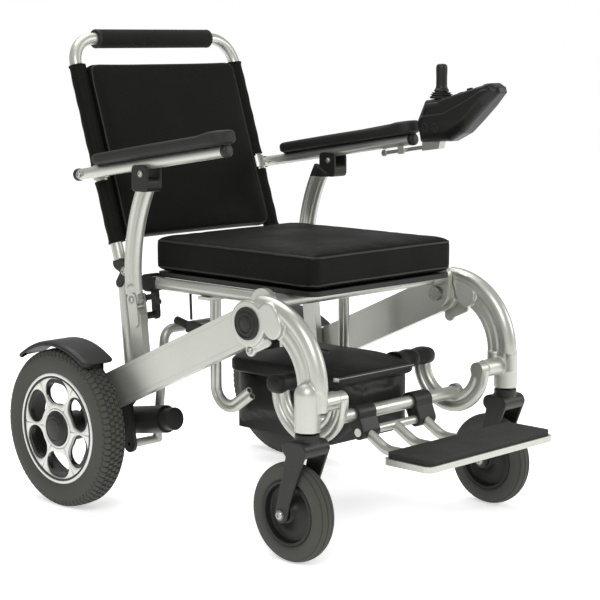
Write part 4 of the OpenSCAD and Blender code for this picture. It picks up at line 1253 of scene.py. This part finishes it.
# ---------- arms and controls ----------
@dataclass
class Arm:
    """Arm pad with round edges, and the end caps of the arm tube."""

    sign: int
    side: str
    start_mm: float = 58.0
    length_mm: float = 376.0
    tube_r_mm: float = 11.0
    thick_mm: float = 23.0

    def build(self) -> list[bpy.types.Object]:
        """Make the pad and the caps.

        Returns:
            The pieces made.
        """
        x = 257.5 * self.sign
        rear = ST.at(x, 12, 651)
        slope = math.atan2(64, 414)
        place = (Matrix.Translation(rear) @ Matrix.Rotation(-slope, 4, "X")
                 @ Matrix.Rotation(-math.pi / 2, 4, "Z"))
        low = (self.tube_r_mm + 1.5) * MM
        points, faces = pad_form(self.length_mm / 2 * MM, 25 * MM, 21 * MM, low,
                                 low + (self.thick_mm - 2) * MM, 7.5 * MM, 2 * MM, 120)
        # The pad's front swells: its top gains 4 mm and its sides 1.5 mm by a smooth step.
        grow = np.clip((points[..., 0] / MM / self.length_mm + 0.5 - 0.8) / 0.12, 0, 1)
        grow = grow * grow * (3 - 2 * grow)
        high = points[..., 2] > low + self.thick_mm / 2 * MM
        points = points * np.stack([np.ones_like(grow), 1 + 0.06 * grow, np.ones_like(grow)], -1)
        points[..., 2] += 4 * MM * grow * high
        points = points + np.array(((self.start_mm + self.length_mm / 2) * MM, 0, 0))
        pad = mesh_piece(f"arm_cushion_{self.side}", points, faces, RUBBER, 60)
        move_points(pad, place)
        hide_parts(f"arm_pad_{self.side}")
        length = 418.9
        caps = []
        for end, way in ((0.0, -1), (length, 1)):
            outline = fillet([(end, 0.01, 0), (end - way * 3, 11.6, 0), (end, 12.4, 0.5),
                              (end + way * 7, 12.4, 2.5), (end + way * 10, 8, 3),
                              (end + way * 10, 0.01, 0)])
            caps.append(lathe(f"cap_{self.side}_{way}", outline, Vector((0, 0, 0)), PLASTIC, 40))
        body = f"arm_{self.side}"
        cap = merge(f"arm_caps_{self.side}", caps, body)
        move_points(cap, place)
        base = fillet([(self.start_mm + 6, 0, 0), (self.start_mm + 6, 8, 3),
                       (self.start_mm + self.length_mm - 8, 8, 3),
                       (self.start_mm + self.length_mm - 8, 0, 0)])
        line = np.stack([np.linspace(base[0, 0], base[-1, 0], 40), np.zeros(40),
                         np.full(40, (self.tube_r_mm + 1.2) * MM)], -1)
        pts, fcs = sweep(line, np.array((0.0, 1.0, 0.0)), np.full(40, 8 * MM),
                         np.full(40, 1.6 * MM), 16, 5.0)
        rail = mesh_piece(f"arm_base_{self.side}", pts, fcs, PLASTIC, 50)
        move_points(rail, place)
        for piece in (pad, rail):
            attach(piece, body)
        return [pad, cap, rail]


@dataclass
class Joystick:
    """Bellows boot, stem and T-topped knob of the joystick."""

    def build(self) -> list[bpy.types.Object]:
        """Make the boot and the stick.

        Returns:
            The pieces made.
        """
        pivot = ST.pivot("stick_pitch")
        boot_outline = fillet([(12, 21, 0), (13.5, 23, 1), (16.4, 23, 1.2), (17.5, 19.2, 0.5),
                               (18.5, 19.2, 0.5),
                               (19.4, 21.8, 0.7), (20.6, 21.6, 0.7), (21.4, 17.2, 0.5), (22.2, 17.2, 0.5),
                               (23, 19.4, 0.7), (24.2, 19, 0.7), (24.6, 15.4, 0.4), (24, 14.6, 0.4),
                               (12, 14.6, 0)])
        boot = lathe("bellows_boot", boot_outline, pivot, RUBBER, 64, "Z", closed=True)
        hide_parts("joystick_boot")
        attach(boot, "controller")
        knob = fillet([(-4, 0.01, 0), (-4, 4.5, 1), (22, 4.5, 2), (24.5, 9, 2), (25.5, 14.4, 1.2),
                       (28.5, 14.8, 1.2), (30.5, 13.4, 1.2), (33, 11.6, 2), (38, 10.9, 4), (52, 10.7, 8),
                       (66, 11.2, 6), (73, 11.3, 4), (78.5, 9.6, 3.5), (80, 5, 4), (80, 0.01, 0)], 6)
        # Twelve shallow finger flutes down the side, 0.5 mm deep.
        turn = np.cos(np.arange(96) / 96 * TAU * 12)[:, None]
        tall = np.clip((knob[:, 0] / MM - 35) / 4, 0, 1) * np.clip((73 - knob[:, 0] / MM) / 4, 0, 1)
        stick = lathe("stick_knob", knob, pivot, PLASTIC, 96, "Z",
                      relief=0.5 * MM * np.clip(turn, 0, 1) * tall[None])
        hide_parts("joystick")
        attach(stick, "stick")
        return [boot, stick]


@dataclass
class Controller:
    """The controller's case, drawn in from its CAD block, with its sockets."""

    middle_mm: float = 257.5
    half_mm: float = 31.0
    flat_mm: float = 12.0
    outline: tuple = ((-436, 712), (-431, 752), (-452, 795), (-500, 801), (-608, 831), (-626, 824),
                      (-629, 812), (-546, 733), (-512, 716))
    crease: tuple = ((-434, 758), (-505, 768), (-560, 793), (-600, 816))

    def edge_distance(self, yz: np.ndarray) -> np.ndarray:
        """Distance of each (y, z) from the nearest side of the outline, in millimetres."""
        corners = np.array(self.outline, float)
        sides_ = np.roll(corners, -1, 0) - corners
        away = yz[:, None] - corners
        along = np.clip((away * sides_).sum(-1) / (sides_ ** 2).sum(-1), 0, 1)
        return np.linalg.norm(away - along[..., None] * sides_, axis=-1).min(1)

    def shape(self, piece: bpy.types.Object) -> None:
        """Round a piece's long edges, taper its nose and belly, and press in its side crease.

        Distance x from the middle plane becomes flat + (x - flat) * k(e) beyond the flat part,
        where k is a quarter circle in the distance e from the outline. It is then scaled by
        1 - 0.34 * s(along the panel) and 1 - 0.2 * s(below the crease), s being a smooth step.

        Args:
            piece: piece to change.
        """
        co = points_of(piece)
        yz = co[:, 1:] / MM - np.array((ST.axle_y / MM, 0))
        x = co[:, 0] / MM - self.middle_mm
        start, run = np.array(self.outline[3], float), np.subtract(self.outline[4], self.outline[3])
        share = np.clip((yz - start) @ run / (run @ run), 0, 1)[:, None]
        radius = np.interp(np.linalg.norm(yz - start - share * run, axis=1), (4, 16), (8, 20))
        e = np.clip(self.edge_distance(yz) / radius, 0, 1)
        side, off = np.sign(x), np.abs(x)
        over = np.maximum(off - self.flat_mm, 0) * np.maximum(np.sqrt(1 - (1 - e) ** 2), 0.1)
        off = np.minimum(off, self.flat_mm) + over

        def step(v: np.ndarray) -> np.ndarray:
            """Smooth step from 0 to 1."""
            v = np.clip(v, 0, 1)
            return v * v * (3 - 2 * v)

        along = (yz - np.array((-500, 801))) @ np.array((-0.962, 0.274))
        off *= 1 - 0.3 * step((along - 88) / 44)
        off *= 1 - 0.24 * step((762 - yz[:, 1]) / 50)
        line = np.array(self.crease, float)[::-1]
        above = yz[:, 1] - np.interp(yz[:, 0], line[:, 0], line[:, 1])
        off -= 2.2 * step(above / 5) * step((off - 22) / 4)
        co[:, 0] = (self.middle_mm + side * off) * MM
        put_points(piece, co)

    def build(self) -> list[bpy.types.Object]:
        """Make the case and its sockets.

        Returns:
            The pieces made.
        """
        case = casting("controller_case", "controller_housing", CASE, 1.1, 6)
        self.shape(case)
        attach(case, "controller")
        face = self.middle_mm - self.half_mm
        rings = []
        for y in (-458, -484):
            at = ST.at(0, y, 742)
            outline = fillet([(face + 1.4, 4.4, 0), (face - 0.9, 4.4, 0.3), (face - 1.3, 5.2, 0.5),
                              (face - 1.3, 8.2, 0.8), (face + 0.6, 9, 0.6), (face + 1.4, 9, 0)])
            rings.append(lathe(f"socket_{y}", outline, at, PLASTIC, 40, closed=True))
            outline = fillet([(face + 1.5, 0.01, 0), (face + 0.6, 3.2, 0.4), (face + 0.4, 4.6, 0)])
            rings.append(lathe(f"socket_core_{y}", outline, at, PLASTIC, 24))
        sockets = merge("case_sockets", rings, "controller")
        self.shape(sockets)
        return [case, sockets]


@dataclass
class Fasteners:
    """Screws and washers at the pivots and clamps, one piece for each body."""

    def build(self) -> list[bpy.types.Object]:
        """Make every screw.

        Returns:
            The pieces made.
        """
        made = []
        spots: dict[str, list[tuple[float, float, float, float, float, float]]] = {
            "rear_frame": [(233.0, -88, 467, 7, 3.6, 8.6), (253.0, -132, 417, 6.5, 3.2, 8.0),
                           (274.0, -96, 238, 6, 3, 7.5), (274.0, -64, 224, 7, 3.4, 9)],
            "front_frame": [(283.0, -488, 366, 6, 3, 7.6)],
            "back": [(271.5, -2, 652.3, 6, 3, 7.5)],
        }
        for body, rows in spots.items():
            heads = [screw_head(ST.at(s * x, y, z), r, h, ZINC, s, w)
                     for x, y, z, r, h, w in rows for s, _ in sides()]
            piece = merge(f"screws_{body}", heads, body)
            made.append(piece)
        for sign, side in sides():
            heads = [screw_head(ST.at(sign * 276.5, -190, 664), 5, 2.6, ZINC, sign, 6.5),
                     screw_head(ST.at(sign * 238.5, -190, 664), 5, 2.6, ZINC, -sign, 6.5)]
            piece = merge(f"screws_post_{side}", heads, f"post_{side}")
            made.append(piece)
            nuts = [screw_head(ST.at(sign * 315, -594, 90), 7.5, 4, ZINC, sign, 9),
                    screw_head(ST.at(sign * 247, -594, 90), 7.5, 4, ZINC, -sign, 9)]
            piece = merge(f"axle_nuts_{side}", nuts, f"caster_{side}")
            made.append(piece)
        return made


# ---------- CAD nodes that stay ----------
KEPT: dict[Finish, tuple[str, ...]] = {
    SILVER: ("beam_right", "beam_left", "seat_frame", "rear_uprights", "bag_hangers",
             "bag_rails", "lower_cross_tube", "footrest_frame", "back_frame", "arm_tube_right",
             "arm_tube_left"),
    # Painted shade: the cross tube is frame silver, drawn darker for the shadow it lies in under the seat.
    GREY_AND_PAINTED_SHADE: ("rear_cross_tube",),
    ZINC: ("pivot_pins", "caster_bearings", "controller_mount", "joystick_gimbal"),
    CASTING: ("motors", "motor_plates", "rear_rim_right", "rear_rim_left"),
    PLASTIC: ("seat_board", "wiring_plug", "battery_pack", "fold_lever_right", "fold_lever_left"),
    RUBBER: ("bag_bar", "footplate_pad", "power_button", "horn_button", "faster_button",
             "slower_button"),
    FOAM: ("push_grip",),
}


def dress_nodes() -> None:
    """Give every CAD node that stays visible its finish."""
    for finish, nodes in KEPT.items():
        for node in nodes:
            shown = frame["nodes"][node]
            for slot in shown.material_slots:
                slot.material = finish.material()


# ---------- stage ----------
@dataclass
class Studio:
    """Floor, soft lights and the camera."""

    lens_mm: float = 106.6
    azimuth_deg: float = -46.01
    elevation_deg: float = 8.41
    eye: tuple[float, float, float] = (-2.4624, -2.3847, 0.9171)
    room_light: float = 0.55

    def camera(self) -> None:
        """Set up the three-quarter view from the sitter's front right."""
        data = bpy.data.cameras.new("view")
        data.lens = self.lens_mm
        data.sensor_width = 36.0
        data.clip_end = 60.0
        camera = bpy.data.objects.new("view", data)
        az, el = math.radians(self.azimuth_deg), math.radians(self.elevation_deg)
        back = Vector((math.sin(az) * math.cos(el), -math.cos(az) * math.cos(el), math.sin(el)))
        camera.matrix_world = (Matrix.Translation(self.eye)
                               @ back.to_track_quat("Z", "Y").to_matrix().to_4x4())
        bpy.context.scene.collection.objects.link(camera)
        bpy.context.scene.camera = camera

    def floor(self) -> None:
        """A wide pale floor."""
        finish = Finish("studio_floor", "#FFFFFF", "#FAFAFA", Grain.FLAKE, 6.0, 0.9, bump=0.0,
                        specular=0.1)
        corners = np.array([[-9, -9, 0], [9, -9, 0], [9, 9, 0], [-9, 9, 0]], float)
        plane = mesh_piece("floor", corners, np.array([[0, 1, 2, 3]]), finish)
        for node in plane.data.materials[0].node_tree.nodes:
            if node.type == "BSDF_PRINCIPLED":
                node.inputs["Emission Color"].default_value = (1, 1, 1, 1)
                node.inputs["Emission Strength"].default_value = 0.5

    def light(self, name: str, at: tuple[float, float, float], size: float, power: float) -> None:
        """One square soft light that looks at the chair.

        Args:
            name: light's name.
            at: where it hangs.
            size: side of its square.
            power: watts.
        """
        data = bpy.data.lights.new(name, "AREA")
        data.size = size
        data.energy = power
        lamp = bpy.data.objects.new(name, data)
        aim = Vector(at) - Vector((0, 0, 0.45))
        lamp.matrix_world = Matrix.Translation(at) @ aim.to_track_quat("Z", "Y").to_matrix().to_4x4()
        bpy.context.scene.collection.objects.link(lamp)

    def build(self) -> None:
        """Make the whole stage."""
        world = bpy.data.worlds.new("white_room")
        bpy.context.scene.world = world
        world.use_nodes = True
        world.node_tree.nodes.clear()
        tree = world.node_tree
        seen = add_node(tree, "ShaderNodeLightPath").outputs["Is Camera Ray"]
        power = add_node(tree, "ShaderNodeMapRange", {"To Min": self.room_light, "To Max": 1.0},
                         {"Value": seen})
        sky = add_node(tree, "ShaderNodeBackground", {"Color": (1, 1, 1, 1)},
                       {"Strength": power.outputs["Result"]})
        add_node(tree, "ShaderNodeOutputWorld", None, {"Surface": sky.outputs["Background"]})
        bpy.context.scene.view_settings.view_transform = "Standard"
        self.light("key", (-2.2, -2.0, 2.6), 1.6, 54)
        self.light("fill", (2.4, -2.4, 1.6), 1.4, 30)
        self.light("top", (0.2, 0.9, 3.0), 2.0, 46)
        self.floor()
        self.camera()


def main() -> None:
    """Build the chair's looks, sub-assembly by sub-assembly."""
    logging.basicConfig(level=logging.INFO, format="%(name)s: %(message)s")
    Studio().build()
    dress_nodes()
    parts: list = [Castings(), MainHub(), Joystick(), Controller(), Fasteners(), SeatCushion(), Back(),
                   BatteryBag()]
    for sign, side in sides():
        parts += [RearWheel(sign, side), CasterWheel(sign, side), Arm(sign, side), Fender(sign, side)]
    for part in parts:
        for piece in part.build():
            LOG.info("%s: %s, %d faces", type(part).__name__, piece.name, len(piece.data.polygons))


if __name__ == "__main__":
    main()
